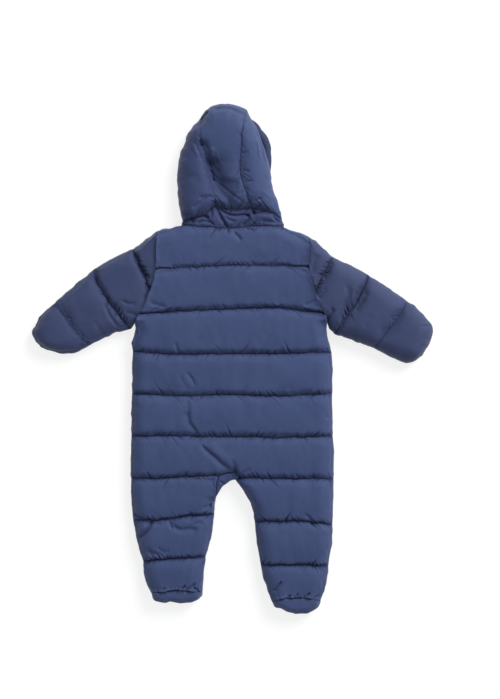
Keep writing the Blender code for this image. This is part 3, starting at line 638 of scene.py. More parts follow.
def weighted(thing, name, values):
    # vertex group whose weights are the values, rounded to a few levels
    group, levels = thing.vertex_groups.new(name=name), drape["levels"]
    rank = np.round(np.clip(values, 0, 1) * levels).astype(int)
    for level in range(1, levels + 1):
        group.add(np.flatnonzero(rank == level).tolist(), level / levels, "REPLACE")
    return name


def merged(points):
    # points that share a place become one: first of each, and the number that every point gets
    cells = np.floor(points / 0.02 + 0.317).astype(np.int64)
    _, first, same = np.unique(cells, axis=0, return_index=True, return_inverse=True)
    return first, same.ravel()


def quadsOf(index):
    # the squares of a grid, as four vertex numbers each
    return np.stack([index[:-1, :-1], index[:-1, 1:], index[1:, 1:], index[1:, :-1]], -1).reshape(-1, 4)


def doubled(values):
    # four-point rule: halfway values are (9 (a + b) - (before + after)) / 16; then the other axis comes first
    ends = np.concatenate([2 * values[:1] - values[1:2], values, 2 * values[-1:] - values[-2:-1]])
    between = (9 * (ends[1:-2] + ends[2:-1]) - ends[:-3] - ends[3:]) / 16
    result = np.empty((2 * len(values) - 1,) + values.shape[1:])
    result[::2], result[1::2] = values, between
    return np.moveaxis(result, 1, 0)


def lifted(grid, height):
    # a grid with the heights added to its own
    return np.dstack([grid[..., :2], grid[..., 2] + height])


def settled(grids, holds, details):
    # cloth that is pinned where hold is 1 and cut larger than its place, so that it buckles between.
    # It is worked out on every second line of the grids, before the fine details of height are added;
    # how far a point moves levels off at the cap: cap x tanh(way / cap)
    grids = [lifted(grid, detail) for grid, detail in zip(grids, details)]
    began = time.time()
    halves = [lifted(grid, -detail)[::2, ::2] for grid, detail in zip(grids, details)]
    points = np.vstack([half.reshape(-1, 3) for half in halves])
    first, same = merged(points)
    indices, base = [], 0
    for half in halves:
        count = half.shape[0] * half.shape[1]
        indices.append(same[base:base + count].reshape(half.shape[:2]))
        base += count
    places = points[first]
    still = np.concatenate([hold[::2, ::2].ravel() for hold in holds])[first]
    mesh = bpy.data.meshes.new("drape")
    mesh.from_pydata((places / drape["scale"]).tolist(), [], np.vstack([quadsOf(i) for i in indices]).tolist())
    thing = linked("drape", mesh)
    modifier = thing.modifiers.new("cloth", "CLOTH")
    x, y = places[:, 0], places[:, 1]
    spare = 0.5 + 0.5 * noisePlane(x / 14, y / 14, 51) + 0.3 * noisePlane(x / 6, y / 6, 52)
    given = dict(quality=drape["quality"], mass=drape["mass"], tension_stiffness=drape["tension"],
                 compression_stiffness=drape["tension"], shear_stiffness=drape["shear"],
                 bending_stiffness=drape["bending"], use_pressure=True,
                 uniform_pressure_force=drape["pressure"],
                 shrink_min=0.0, shrink_max=-drape["growth"],
                 vertex_group_mass=weighted(thing, "hold", still),
                 vertex_group_shrink=weighted(thing, "spare", spare))
    for key, value in given.items():
        setattr(modifier.settings, key, value)
    modifier.settings.effector_weights.gravity = 0
    scene = bpy.context.scene
    for step in range(1, drape["frames"] + 1):
        scene.frame_set(step)
    shaped = thing.evaluated_get(bpy.context.evaluated_depsgraph_get())
    moved = np.empty(len(places) * 3)
    shaped.data.vertices.foreach_get("co", moved)
    shift = moved.reshape(-1, 3) * drape["scale"] - places
    far = np.linalg.norm(shift, axis=1) + 1e-9
    shift *= (drape["cap"] * np.tanh(far / drape["cap"]) / far * (1 - still))[:, None]
    bpy.data.objects.remove(thing)
    bpy.data.meshes.remove(mesh)
    scene.frame_set(1)
    print("cloth settled", len(places), "points, farthest", round(float(far.max()), 1), "mm,",
          round(time.time() - began, 1), "s")
    return [grid + doubled(doubled(shift[index])) for grid, index in zip(grids, indices)]


def addMesh(name, vertices, faces, finish, slotName, smooth=True):
    # a piece from millimetres, faces turned outwards, that moves with the suit
    mesh = bpy.data.meshes.new(name)
    mesh.from_pydata((np.asarray(vertices) / 1000).tolist(), [], faces)
    work = bmesh.new()
    work.from_mesh(mesh)
    bmesh.ops.recalc_face_normals(work, faces=work.faces)
    if work.calc_volume(signed=True) < 0:
        bmesh.ops.reverse_faces(work, faces=work.faces)
    work.to_mesh(mesh)
    work.free()
    if smooth:
        mesh.shade_smooth()
    mesh.materials.append(finish)
    thing = linked(name, mesh)
    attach(thing, "suit")
    print(name, len(faces), "faces")
    return thing


def closedWall(name, sheets, finish, slotName, near=()):
    # outer grids, and inner grids on every fourth line of them, closed along what stays open
    step = cloth["coarse"]
    outer, inner = (np.vstack([sheet[k].reshape(-1, 3) for sheet in sheets]) for k in (0, 1))
    first, same = merged(outer)
    quads, innerQuads, sides, base, innerBase = [], [], [], 0, 0
    twin = np.zeros(len(inner), int)      # the outer vertex that each inner one lies under
    for grid, _ in sheets:
        index = base + np.arange(grid[..., 0].size).reshape(grid.shape[:2])
        coarse = index[::step, ::step]
        below = innerBase + np.arange(coarse.size).reshape(coarse.shape)
        twin[below.ravel()] = same[coarse.ravel()]
        quads.append(quadsOf(index))
        innerQuads.append(quadsOf(below)[:, [0, 3, 2, 1]])
        for side in ("first", "last", "left", "right"):
            edge, inside = borderOf(index, side), borderOf(below, side)
            parts = [edge[k:len(edge) - step + k:step] for k in range(step)] + [edge[step::step]]
            sides.append(np.stack(parts + [inside[:-1], inside[1:]], axis=-1))
        base += index.size
        innerBase += coarse.size
    quads = same[np.vstack(quads)]
    # inner vertices join where their outer twins do
    _, innerFirst, innerSame = np.unique(twin, return_index=True, return_inverse=True)
    innerSame = innerSame.ravel()
    innerQuads = innerSame[np.vstack(innerQuads)]
    # the border is what only one inner face has
    pairs = np.sort(np.vstack([innerQuads[:, [k, (k + 1) % 4]] for k in range(4)]), axis=1)
    pairs = pairs[pairs[:, 0] != pairs[:, 1]]
    keys, counts = np.unique(pairs[:, 0] * len(innerFirst) + pairs[:, 1], return_counts=True)
    sides = np.vstack(sides)
    ends = np.sort(innerSame[sides[:, -2:]], axis=1)
    single = np.isin(ends[:, 0] * len(innerFirst) + ends[:, 1], keys[counts == 1])
    border = sides[single & (ends[:, 0] != ends[:, 1])]
    count = len(first)
    fine = same[border[:, :step + 1]]
    inner0, inner1 = innerSame[border[:, -2]] + count, innerSame[border[:, -1]] + count
    closing = [np.stack([inner0, fine[:, k], fine[:, k + 1]], -1) for k in range(step)]
    closing.append(np.stack([inner0, fine[:, step], inner1], -1))
    # quads with two corners in one place become triangles
    everyQuad = np.vstack([quads, innerQuads + count])
    flat = (everyQuad == np.roll(everyQuad, 1, axis=1)).any(1) | (everyQuad[:, :2] == everyQuad[:, 2:]).any(1)
    split = everyQuad[flat]
    triangles = np.vstack(closing + [split[:, [0, 1, 2]], split[:, [0, 2, 3]]])
    keep = (triangles != np.roll(triangles, 1, axis=1)).all(1)
    vertices = np.vstack([outer[first], inner[innerFirst]])
    thing = addMesh(name, vertices, everyQuad[~flat].tolist() + triangles[keep].tolist(), finish, slotName)
    # painted shade of grooves, nicks and deep folds, with the thread's dark at the lines, kept on the vertices
    if len(near):
        values = np.zeros(len(vertices), np.float32)
        values[:count] = np.concatenate([part.ravel() for part in near])[first]
        thing.data.attributes.new("threadAndGrooveShade", "FLOAT", "POINT").data.foreach_set("value", values)
    return thing


def raised(plan, height):
    # a grid of places from the plan, at a height
    return np.dstack([strayed(plan), np.broadcast_to(height, plan.shape[:2])])


def under(grid):
    # the places of a grid that the inner sheet keeps
    return grid[::cloth["coarse"], ::cloth["coarse"]]


def doubleLayer(plan, inside, height, seam, direction):
    # one layer of a tube or fold: its outer grid, and its inner one half a slit from the seam's height
    return raised(plan, height), under(raised(inside, seam + direction * cloth["slit"] / 2))


# quilted patches

quilt = dict(
    below=dict(steep=0.56, reach=1.3, nicks=0.7),     # the baffle's side under the line that it hangs from
    above=dict(steep=0.74, nicks=1.15),               # and over its other line
    slow=34.0,            # reach of the gentle part of the rise
    width=1.15,           # how wide a line is marked
    lineSeeds=dict(first=7, last=40, left=80, right=120),
    rolling=[(0.9, 46, 30, 21), (0.45, 17, 40, 22), (0.2, 9, 16, 23)],
)


# what the borders of a baffle are where nothing is sewn to its sides
freeBaffle = dict(first=dict(line=1.0), last=dict(line=1.0), left=dict(rim=1.0), right=dict(rim=1.0))


def acrossGrid(values, side):
    # values of one border, laid so that they hold across the grid
    return values if np.isscalar(values) or side in ("first", "last") else values[:, None]


def puff(plan, kinds, crest, seed, lineAxis=(1, 0), strength=1.0, stitch=None, rim=None, reach=None, taut=1.0):
    # thickness of a quilted patch, and how dark it is painted near a stitched line: painted shade in the groove
    # and nicks, with the thread's dark at the line. kinds says how much of a rim, a line or a seam each border
    # is:
    # wall + crest x rounded rise from the lines, all x the rounded rise from the rims, less a dip at the seams
    rim = cloth["rimWall"] if rim is None else rim
    stitch = stitch or cloth["stitchWall"]
    overRim = overLine = 1.0
    nicks, near, dip = (np.zeros(plan.shape[:2]) for _ in range(3))
    for side, parts in kinds.items():
        away = fromSide(plan, side)
        edge = borderOf(plan, side)
        direction = lineAxis if side in ("first", "last") else (-lineAxis[1], lineAxis[0])
        run = acrossGrid(edge[..., 0] * direction[0] + edge[..., 1] * direction[1] + gather["zero"], side)
        run = np.broadcast_to(run, away.shape)
        lineSeed = seed + quilt["lineSeeds"][side]
        for kind, weight in parts.items():
            weight = acrossGrid(weight, side)
            if kind == "rim":
                overRim = overRim * (1 - weight * (1 - rounded(away, reach or cloth["rimReach"])))
            if kind == "line":
                given = dict(reach=taut, **quilt["above"]) if side != "first" else quilt["below"]
                uneven = cloth["lineReach"] * given["reach"] * (1 + 0.25 * noiseLine(run / 17, lineSeed + 1))
                steep, gentle = rounded(away, uneven), rounded(away, quilt["slow"])
                rise = given["steep"] * steep + (1 - given["steep"]) * gentle
                overLine = overLine * (1 - weight * (1 - rise))
                trough, nickShade = gathers(run, away, lineSeed, strength * given["nicks"])
                nicks += weight * trough
                # painted shade in the groove beside the line and in its nicks, with the thread's dark at the
                # line
                wide = (quilt["width"] + 0.5 * noiseLine(run / 6, lineSeed + 2)) * (0.6 + 0.4 * strength)
                near = np.maximum(near, weight * np.maximum(bell(away, wide), 1.2 * nickShade))
            if kind == "seam":
                dip += weight * (1.3 * bell(away, 1.5) + 0.9 * np.exp(-away / 6))
                trough, nickShade = gathers(run, away, lineSeed, strength)
                nicks += 0.3 * weight * trough
                # painted shade along the seam and in its nicks
                near = np.maximum(near, weight * np.maximum(0.5 * bell(away, 0.8), 0.2 * nickShade))
    free = np.clip(overLine * 1.4, 0, 1)
    full = stitch - rim + crest * overLine + noiseSum(plan[..., 0], plan[..., 1], *quilt["rolling"]) * free
    return rim + full * overRim - dip * overRim, near, nicks * free * overRim


def held(plan, kinds):
    # 1 at the rims, lines and seams of a patch, 0 a little way off
    return 1 - ramp(np.minimum.reduce([fromSide(plan, side) for side in kinds]), 0.2, 2.2)


def finely(thick, fine):
    # what fine details add to a thickness that stays above zero
    return np.maximum(thick + fine, 0) - np.maximum(thick, 0)


def broken(border):
    # a seam that shows in short stretches: share of its depth along the border
    return 0.3 + 0.7 * ramp(noiseLine(border[:, 0] / 9 + 70, 77), -0.2, 0.35)


# the sides swell between the lines, which pull them in
leftSides = leftSides[:2] + bulged(leftSides[2:], -0.9)
rightSides = rightSides[:2] + bulged(rightSides[2:], 1.2)
leftLeg = [(line, *bulged([outer], -0.9), *bulged([inner], 0.9)) for line, outer, inner in leftLeg]
rightLeg = [(line, inner, *bulged([outer], 1.2)) for line, inner, outer in rightLeg]
sleeves["left"]["body"], sleeves["right"]["body"] = leftSides, rightSides
print("tools ready")


# the back panel

backCreases = [
    # path, depth, width, lean, fade
    ([(-84, -24), (-77, -38), (-70, -52)], 0.9, 4.5, -0.6),
    ([(-72, -64), (-69, -82), (-66, -98)], 1.3, 5.0, -0.6),
    ([(-71, -81), (-69, -97), (-62, -110), (-51, -123)], 2.6, 4.6, -0.6, 0.25),
    ([(-50, -133), (-42, -144), (-31, -154), (-14, -168), (4, -181)], 3.2, 3.0, -0.6, 0.2),
    ([(-42, -136), (-20, -154), (6, -172)], -1.6, 7.0, 0.0),
    ([(-93, 25), (-88, 15), (-84, 9)], 1.6, 2.6, 0.0),
    ([(-72, -20), (-64, -34), (-60, -46)], 1.8, 3.0, -0.3),
    ([(-2, -160), (3, -172), (6, -182)], 1.8, 2.6, 0.0, 0.2),
    ([(30, -176), (20, -181), (12, -186)], 1.8, 2.4, 0.0, 0.2),
    ([(148, -98), (154, -92), (160, -86)], 2.4, 2.4, 0.0, 0.2),
    ([(0, 203), (8, 196), (16, 186)], 2.6, 3.0, -0.5, 0.25),
    ([(-9, 209), (-8, 203), (-7, 198)], 3.4, 2.6, 0.0, 0.2),
    ([(-34, 203), (-27, 205), (-20, 207)], 2.2, 2.0, 0.0, 0.2),
    ([(19, 207), (27, 205), (36, 203)], 2.4, 2.0, 0.0, 0.2),
    ([(-14, 207), (-28, 196), (-40, 184)], 0.9, 5.0, 0.0),
    ([(-60, 208), (-62, 190), (-70, 175)], 0.6, 6.0, 0.0),
    ([(-134, 88), (-120, 84), (-104, 80)], 2.2, 3.0, 0.2),
    ([(136, 96), (126, 88), (112, 84)], 1.8, 3.0, 0.2),
    ([(-157, -249), (-150, -253), (-141, -257)], 4.5, 2.6, -0.2, 0.1),
    ([(-126, -258), (-130, -266), (-137, -276), (-144, -284), (-151, -287)], 6.0, 2.6, -0.4, 0.08),
    ([(-136, -262), (-142, -270), (-150, -276)], -2.0, 3.4, 0.0, 0.2),
    ([(-100, -257), (-98, -266), (-96, -274)], 2.6, 2.2, 0.0, 0.3),
    ([(-93, -260), (-91, -268), (-81, -272), (-67, -271), (-52, -273)], 3.4, 3.8, -0.5, 0.25),
    ([(-143, -262), (-128, -263), (-108, -262)], 2.4, 4.0, 0.0, 0.3),
    ([(-90, -262), (-74, -261), (-56, -264)], -1.0, 3.6, 0.0, 0.4),
    ([(-72, -268), (-60, -264), (-46, -262)], 2.0, 2.2, 0.0, 0.2),
    ([(-47, -241), (-40, -237), (-31, -234)], 2.2, 2.6, 0.0, 0.2),
    ([(-36, -232), (-35, -240), (-36, -247)], 1.6, 2.2, 0.0, 0.2),
    ([(-136, -306), (-122, -311), (-106, -314)], 2.2, 4.0, -0.3, 0.3),
    ([(-120, -300), (-112, -307), (-100, -309)], 1.6, 2.6, 0.0, 0.2),
    ([(-138, -302), (-132, -310), (-124, -317)], 1.4, 3.8, 0.0),
    ([(114, -248), (124, -258), (134, -274)], 2.2, 2.6, 0.2),
    ([(150, -268), (156, -262), (161, -256)], 2.0, 2.6, 0.0),
    ([(79, -354), (72, -362), (62, -373)], 4.4, 2.4, 0.2, 0.15),
    ([(-114, -371), (-110, -367), (-106, -365)], 2.0, 1.7, 0.0, 0.2),
    ([(-82, -370), (-79, -364), (-74, -360)], 4.0, 1.7, 0.0, 0.2),
    ([(-76, -368), (-70, -366), (-64, -362), (-58, -357)], 4.2, 1.8, 0.0, 0.2),
    ([(-64, -364), (-58, -368), (-52, -374)], 3.6, 1.8, 0.0, 0.2),
    ([(84, -385), (89, -381), (93, -375)], 3.6, 1.7, 0.0, 0.2),
    ([(97, -382), (102, -378), (104, -372)], 2.4, 1.6, 0.0, 0.2),
    ([(112, -383), (118, -379), (124, -373)], 3.6, 1.7, 0.0, 0.2),
    ([(126, -385), (133, -380), (140, -377)], 3.0, 1.7, 0.0, 0.2),
]
backCut = dict(
    columns=dict(left=140, right=147), gussetSteps=(8, 4),
    shoulderLine=0.72,                     # the line across the shoulders is shallower than the others
    yoke=dict(strength=0.6, taut=0.5), body=dict(strength=1.0, taut=0.85), legs=dict(strength=1.1, taut=0.35),
)
armholeEnd = (0.18, 0.3)     # the armhole's seam ends in the third baffle, where the side seam starts


def armShare(plan, side, k):
    # how far the border of the kth baffle is armhole, and not side seam
    return 1 - ramp(shares(plan, side), *armholeEnd) if k == 2 else float(k < 2)


def bodyPatches(leftSteps, rightSteps, edge):
    # six patches across the body, with what each of their borders is
    columns = leftSteps + sum(backCut["gussetSteps"]) + rightSteps
    lines = [alongCurve(line, even(columns)) for line in bodyLines] + [joined(*edge)]
    for k, (first, last) in enumerate(zip(lines, lines[1:])):
        plan = rowGrid(first, last, leftSides[k], rightSides[k], cloth["rows"], columns)
        faint = (0.5, 0.5 - 0.3 * crowded(cloth["rows"]), 0.2)[min(k, 2)]
        kinds = dict(first=dict(line=backCut["shoulderLine"] if k == 1 else 1.0),
                     last=dict(line=1.0 if k else backCut["shoulderLine"]))
        for side in ("left", "right"):
            arm = armShare(plan, side, k)
            kinds[side] = dict(seam=arm * faint, rim=1 - arm)
        if k == 0:
            shoulder = ramp(np.abs(first[:, 0]), 78, 92)
            kinds["first"] = dict(line=1 - shoulder, rim=shoulder)
        yield seamIn(plan, "" if k else "first"), kinds, 1000 + 40 * k, backCut["body" if k else "yoke"]


def legPatches(leg, first, count, seed):
    # three patches down a leg; the left one's inner border starts as the gusset's seam
    for k, (last, a, b) in enumerate(leg):
        last = alongCurve(last, even(count))
        plan = rowGrid(first, last, a, b, cloth["rows"], count)
        kinds = dict(freeBaffle)
        if k == 2:
            kinds["last"] = dict(line=0.3 * broken(last), seam=0.8 * broken(last))
        if k == 0 and leg is leftLeg:
            hem = ramp(shares(plan, "right"), 0.5, 0.66)
            kinds["right"] = dict(seam=1 - hem, rim=hem)
        # both legs have one line with the seat, and so its nicks
        yield seamIn(plan, "last" if k == 2 else ""), kinds, seed + 40 * k if k else 1240, backCut["legs"]
        first = last


stitchPaths = []     # 3-D paths that get stitches


def makeBack():
    # all its patches over one level, which buckle together as one cloth
    left, right = (fourths(length) for length in backCut["columns"].values())
    steps = (left, *backCut["gussetSteps"], right)
    edge = [alongCurve(line, even(count))
            for line, count in zip((seatLeft, seatGussetLeft, seatGussetRight, seatRight), steps)]
    patches = [*bodyPatches(left, right, edge), *legPatches(leftLeg, edge[0], left, 2000),
               *legPatches(rightLeg, edge[3], right, 3000)]
    sheets, near, hold, details = [], [], [], []
    base = cloth["seamHeight"] + cloth["seamGap"]
    for plan, kinds, seed, look in patches:
        thick, close, nicks = puff(plan, kinds, cloth["backCrest"], seed, **look)
        thick = np.maximum(thick, cloth["rimWall"])
        folds = creased(plan, backCreases) * np.clip(thick / 18, 0, 1)
        details.append(np.maximum(thick + nicks + folds, cloth["rimWall"]) - thick)
        sheets.append((raised(plan, base + thick), under(raised(plan, base))))
        # painted shade at the lines, nicks and deep folds
        near.append(shaded(close, folds))
        hold.append(held(plan, kinds))
    outers = settled([outer for outer, _ in sheets], hold, details)
    stitchPaths.extend(outer[-1] for outer in outers)
    back = closedWall("backPanel", [(outer, inner) for outer, (_, inner) in zip(outers, sheets)], shell,
                      "navy_shell", near)
    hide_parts("back")


makeBack()


# the two fronts, which lie on the surface

front = dict(neckHeight=205.5, zipHalf=12.3, zipBottom=-150.0, gap=0.15, seatHeight=-188.0,
             centreHeights=(147, 78, 7, -58, -125), spacing=3.2, width=150, depth=64, flatten=1.25, thinner=1.6)
fronts = {
    "left": dict(sign=-1, neck=[(-121, 203), (-100, 207.5), (-82, 208.5), (-50, 207.5)], sides=leftSides,
                 leg=leftLeg, crotch=crotchLeft, seat=seatLeft),
    "right": dict(sign=1, neck=[(50, 207.5), (81, 206.5), (100, 201.5), (122, 194)], sides=rightSides,
                  leg=rightLeg, crotch=crotchRight, seat=seatRight[1:]),
}


def frontPatches(side):
    # six patches from the neck to the seat, beside the zip, and three down the leg
    shape, sign = fronts[side], fronts[side]["sign"]
    edge, meeting = sign * front["zipHalf"], sign * front["gap"]
    seat = (meeting, front["seatHeight"])
    rows, columns = (fourths(front[key], front["spacing"]) for key in ("depth", "width"))
    outside, inside = ("left", "right")[::-sign]

    def across(outer, middle):
        # from left to right: the outer part comes first on the left front and last on the right one
        return outer + middle if sign < 0 else middle + outer

    upper, top = across(shape["neck"], [(edge, front["neckHeight"])]), front["neckHeight"]
    for k, line in enumerate(bodyLines[1:] + [across(shape["seat"], [seat])]):
        if k < 5:
            bottom = front["centreHeights"][k]
            half = [place for place in line if place[0] * sign > front["zipHalf"] + 5]
            lower, middle = across(half, [(edge, bottom)]), [(edge, top), (edge, bottom)]
        else:
            lower, bottom = line, front["seatHeight"]
            middle = [(edge, top), (edge, front["zipBottom"]), (0.35 * edge, -158), (0.07 * edge, -166),
                      (meeting, -178), seat]
        plan = rowGrid(upper, lower, *across([shape["sides"][k]], [middle]), rows, columns)
        arm = armShare(plan, outside, k)
        kinds = {"first": dict(line=1.0), "last": dict(line=1.0), outside: dict(seam=arm, rim=1 - arm),
                 inside: dict(rim=1.0)}
        yield seamIn(plan, "" if k else "first"), kinds
        upper, top = lower, bottom
    for k, (line, *borders) in enumerate(shape["leg"]):
        lower = line if k < 2 else soles[side]["toe"]
        if k == 0:
            borders = across([borders[sign > 0]], [[seat] + shape["crotch"]])
        plan = rowGrid(upper, lower, *borders, rows, columns)
        yield seamIn(plan, "last" if k == 2 else ""), freeBaffle
        upper = lower


def makeFront(side):
    # the same patches upside down, pressed flat where they would pass the surface
    sheets, near, seam = [], [], cloth["seamHeight"]
    for k, (plan, kinds) in enumerate(frontPatches(side)):
        thick, close, nicks = puff(plan, kinds, cloth["frontCrest"], 5000 + 40 * k,
                                   stitch=cloth["stitchWall"] - front["thinner"])
        low = seam - np.clip(front["flatten"] * (thick + nicks), cloth["rimWall"], seam)
        sheets.append((raised(plan, low), under(raised(plan, seam))))
        # painted shade at the lines and nicks, as on the back
        near.append(close)
    panel = closedWall(side + "Front", sheets, shell, "navy_shell", near)
    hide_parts("front_" + side)


makeFront("left")
makeFront("right")


# crotch gusset

gusset = dict(crest=3.0, wall=7.0, seam=0.5, steps=16, seed=7100)
gussetCreases = [
    ([(-1, -182), (0, -186), (1, -191)], 1.6, 1.8, 0.0),
    ([(-20, -196), (-15, -200), (-12, -204)], 2.0, 2.0, 0.0),
]


def makeGusset():
    # its upper border follows the seat's seam, its lower one the hem between the legs
    base = cloth["seamHeight"] + cloth["seamGap"]
    start = alongCurve(leftLeg[0][2], np.linspace(0.5, 0, 25))
    upper = joined(start, alongCurve(seatGussetLeft, even(16)), alongCurve(seatGussetRight, even(8)))
    lower = alongCurve([tuple(upper[0] + [0.8, -0.6])] + gussetHem + [tuple(upper[-1] + [-4, -5])],
                       even(len(upper) - 1))
    plan = endGrid(upper, lower, gusset["steps"])
    plan = drawIn(drawIn(plan, 2.5 * cloth["seamGap"], 0, 0), 0, 6 * cloth["seamGap"], 1)
    thick, close, nicks = puff(plan, dict(first=dict(seam=gusset["seam"]), last=dict(rim=1.0)), gusset["crest"],
                               gusset["seed"], stitch=gusset["wall"])
    thick = np.maximum(thick + nicks + creased(plan, gussetCreases), cloth["rimWall"])
    piece = closedWall("crotchGusset", [(raised(plan, base + thick), under(raised(plan, base)))], shell,
                       "navy_shell", [close])
    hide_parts("crotch_gusset")


makeGusset()


# sleeves with closed mitten ends

sleeveCreases = {
    "left": [
        ([(-206, 92), (-192, 62), (-178, 46)], 3.0, 3.0, 0.3, 0.2),
        ([(-157, 168), (-147, 148), (-131, 122)], 3.6, 3.4, -0.4, 0.15),
        ([(-151, 152), (-143, 138), (-138, 126)], 3.0, 2.0, 0.0, 0.15),
        ([(-129, 120), (-133, 108), (-142, 92)], 2.0, 3.0, 0.3, 0.2),
        ([(-178, 92), (-166, 87), (-152, 84)], 2.4, 2.2, 0.0, 0.2),
        ([(-170, 72), (-160, 70), (-150, 66)], 1.8, 2.2, 0.0, 0.2),
        ([(-222, 60), (-212, 46), (-204, 30)], 1.0, 3.5, 0.0),
        ([(-262, 96), (-250, 72), (-240, 50)], -0.6, 7.0, 0.0),
    ],
    "right": [
        ([(181, 120), (184, 100), (179, 76), (170, 52)], 3.4, 4.0, 0.3, 0.3),
        ([(216, 108), (206, 92), (192, 74)], 2.6, 2.6, 0.3, 0.2),
        ([(163, 80), (156, 68), (148, 56)], 3.6, 2.6, -0.3, 0.15),
        ([(140, 64), (150, 56), (158, 44)], 3.6, 2.6, 0.0, 0.15),
        ([(158, 156), (150, 140), (142, 124)], 3.4, 4.2, 0.2, 0.15),
        ([(134, 168), (128, 146), (130, 128)], 1.8, 5.0, 0.3, 0.2),
        ([(150, 112), (140, 100), (134, 92)], 1.8, 3.0, 0.0, 0.2),
        ([(206, 46), (214, 60), (224, 70)], 1.0, 3.5, 0.0),
    ],
}
sleeveCut = dict(
    # of the patch over the line at the armhole, and of the three below it
    rows=(24, 32, 40, 24), strength=(1.5, 1.5, 0.9, 0.35),
    folded=("left", "left right", "left right", "left right last"),
    seeds={1: 8000, -1: 8600}, flatten=1.25, shift=0.1,
    lineAxis=dict(left=(0.51, -0.86), right=(-0.5, -0.866)),      # across the arm
    armholeReach=13.0, armholeTaut=0.5,
)


def sleevePatches(shape):
    # the armhole runs down one side of the first patch and on along the second
    body, rows = shape["body"], sleeveCut["rows"]
    above = joined(alongCurve(body[0], even(32)), alongCurve(body[1], 0.5 * even(20)))
    below = joined(alongCurve(body[1], 0.5 + 0.5 * even(16)), alongCurve(body[2], 0.25 * even(8)))
    count = len(above) - 1
    firstLine = alongCurve(shape["firstLine"] + [tuple(above[-1])], even(count))
    plan = blendGrid(above, firstLine, alongCurve(shape["shoulder"], crowded(rows[0])),
                     np.repeat(above[-1:], rows[0] + 1, axis=0))
    faint = 0.5 - 0.3 * even(count)
    patches = [(plan, dict(first=dict(seam=faint), last=dict(line=1.0), left=dict(rim=1.0)))]
    upper = joined(firstLine, below)
    columns = len(upper) - 1
    onLine = 1 - ramp(np.arange(columns + 1) - count, 0, 5)
    starts = (dict(line=onLine, seam=0.2 * (1 - onLine)), dict(line=1.0), dict(line=0.6))
    lasts = (dict(line=1.0), dict(line=0.6), dict(rim=1.0))
    for k, (last, top, bottom) in enumerate(shape["rows"]):
        bottom = [tuple(below[-1])] + bottom[1:] if k == 0 else bottom
        last = alongCurve(last, even(columns))
        plan = rowGrid(upper, last, top, bottom, rows[k + 1], columns)
        patches.append((plan, dict(freeBaffle, first=starts[k], last=lasts[k])))
        upper = last
    return patches, count


def makeSleeve(side):
    # a flattened tube: full upper layer, and a lower one that is pressed flat on the surface
    patches, count = sleevePatches(sleeves[side])
    seam, away = cloth["seamHeight"], sleeveCut["shift"] * (1 if side == "right" else -1)
    sheets, close, hold, details = [], [], [], []
    for k, (plan, kinds) in enumerate(patches):
        clear = ramp(fromSide(plan, "first"), 0, 2.5) if k < 2 else 1
        taut, reach = (1.0, None) if k else (sleeveCut["armholeTaut"], sleeveCut["armholeReach"])
        inside = tucked(plan, cloth["foldWall"], sleeveCut["folded"][k])
        for direction, seed in sleeveCut["seeds"].items():
            full, paintedShade, nicks = puff(plan, kinds, cloth["sleeveCrest"], seed + 40 * k,
                                         sleeveCut["lineAxis"][side], sleeveCut["strength"][k], rim=0.0,
                                         reach=reach, taut=taut)
            if direction > 0:
                folds = creased(plan, sleeveCreases[side]) * np.clip(full / 16, 0, 1) * clear
                # painted shade in the sleeve's deep creases, added to that of its lines
                paintedShade = shaded(paintedShade, folds)
                details.append(finely(full, nicks + folds))
            full = np.maximum(full, 0)
            height = seam + full if direction > 0 else seam - np.minimum(sleeveCut["flatten"] * full, seam)
            outer, inner = doubleLayer(plan, inside, height, seam, direction)
            outer[..., 0] += away
            inner[..., 0] += away
            sheets.append((outer, inner))
            close.append(paintedShade)
            hold.append(held(plan, kinds))
    for k in (0, 1):     # both baffles end at one height on the line they share
        one, other = sheets[k][0][-1, :, 2], sheets[k + 2][0][0, :count + 1, 2]
        one[:] = other[:] = (one + other) / 2
    details[0][-1] = details[1][0, :count + 1] = (details[0][-1] + details[1][0, :count + 1]) / 2
    tops = settled([outer for outer, _ in sheets[::2]], hold[::2], details)
    stitchPaths.extend(top[-1] for top in tops[:3])
    sheets[::2] = [(outer, inner) for outer, (_, inner) in zip(tops, sheets[::2])]
    # the sleeves in the darker copy of the shell: painted shade
    piece = closedWall(side + "Sleeve", sheets, shadedSleeveShell, "navy_shell", close)
    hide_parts("sleeve_" + side)


makeSleeve("left")
makeSleeve("right")


# soles, folded over the foot's end

soleCut = dict(wall=16.0, reach=11.0, strength=1.2, steps=(16, 44), hem=5.0, hemDepth=1.2, flatten=1.3,
               seed=9000)


def makeSole(side):
    # two layers from the heel's and the toe's seam to a shared end, with a stitched dip beside the fold
    shape, seam, fold = soles[side], cloth["seamHeight"], cloth["foldWall"]
    rows, columns = soleCut["steps"]
    sheets, close = [], []
    for name, direction in (("heel", 1), ("toe", -1)):
        first, last = alongCurve(shape[name], even(columns)), alongCurve(shape["end"], even(columns))
        plan = seamIn(endGrid(first, last, rows), "first", share=2)
        kinds = dict(freeBaffle, first=dict(seam=broken(first)), last=dict(rim=1.0))
        full, paintedShade, nicks = puff(plan, kinds, 0.0, soleCut["seed"], strength=soleCut["strength"], rim=0.0,
                                     stitch=soleCut["wall"], reach=soleCut["reach"])
        dip = soleCut["hemDepth"] * bell(fromSide(plan, "last") - soleCut["hem"], 1.2)
        full = np.maximum(full + nicks - dip, 0)
        full = full if direction > 0 else np.minimum(soleCut["flatten"] * full, seam)
        sheets.append(doubleLayer(plan, tucked(plan, fold, "left right last"), seam + direction * full, seam,
                                  direction))
        # painted shade along the heel's and toe's seams
        close.append(paintedShade)
    piece = closedWall(side + "Sole", sheets, shell, "navy_shell", close)
    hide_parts("sole_" + side)


makeSole("left")
makeSole("right")


# hood of three pieces, the band round its opening, and the collar

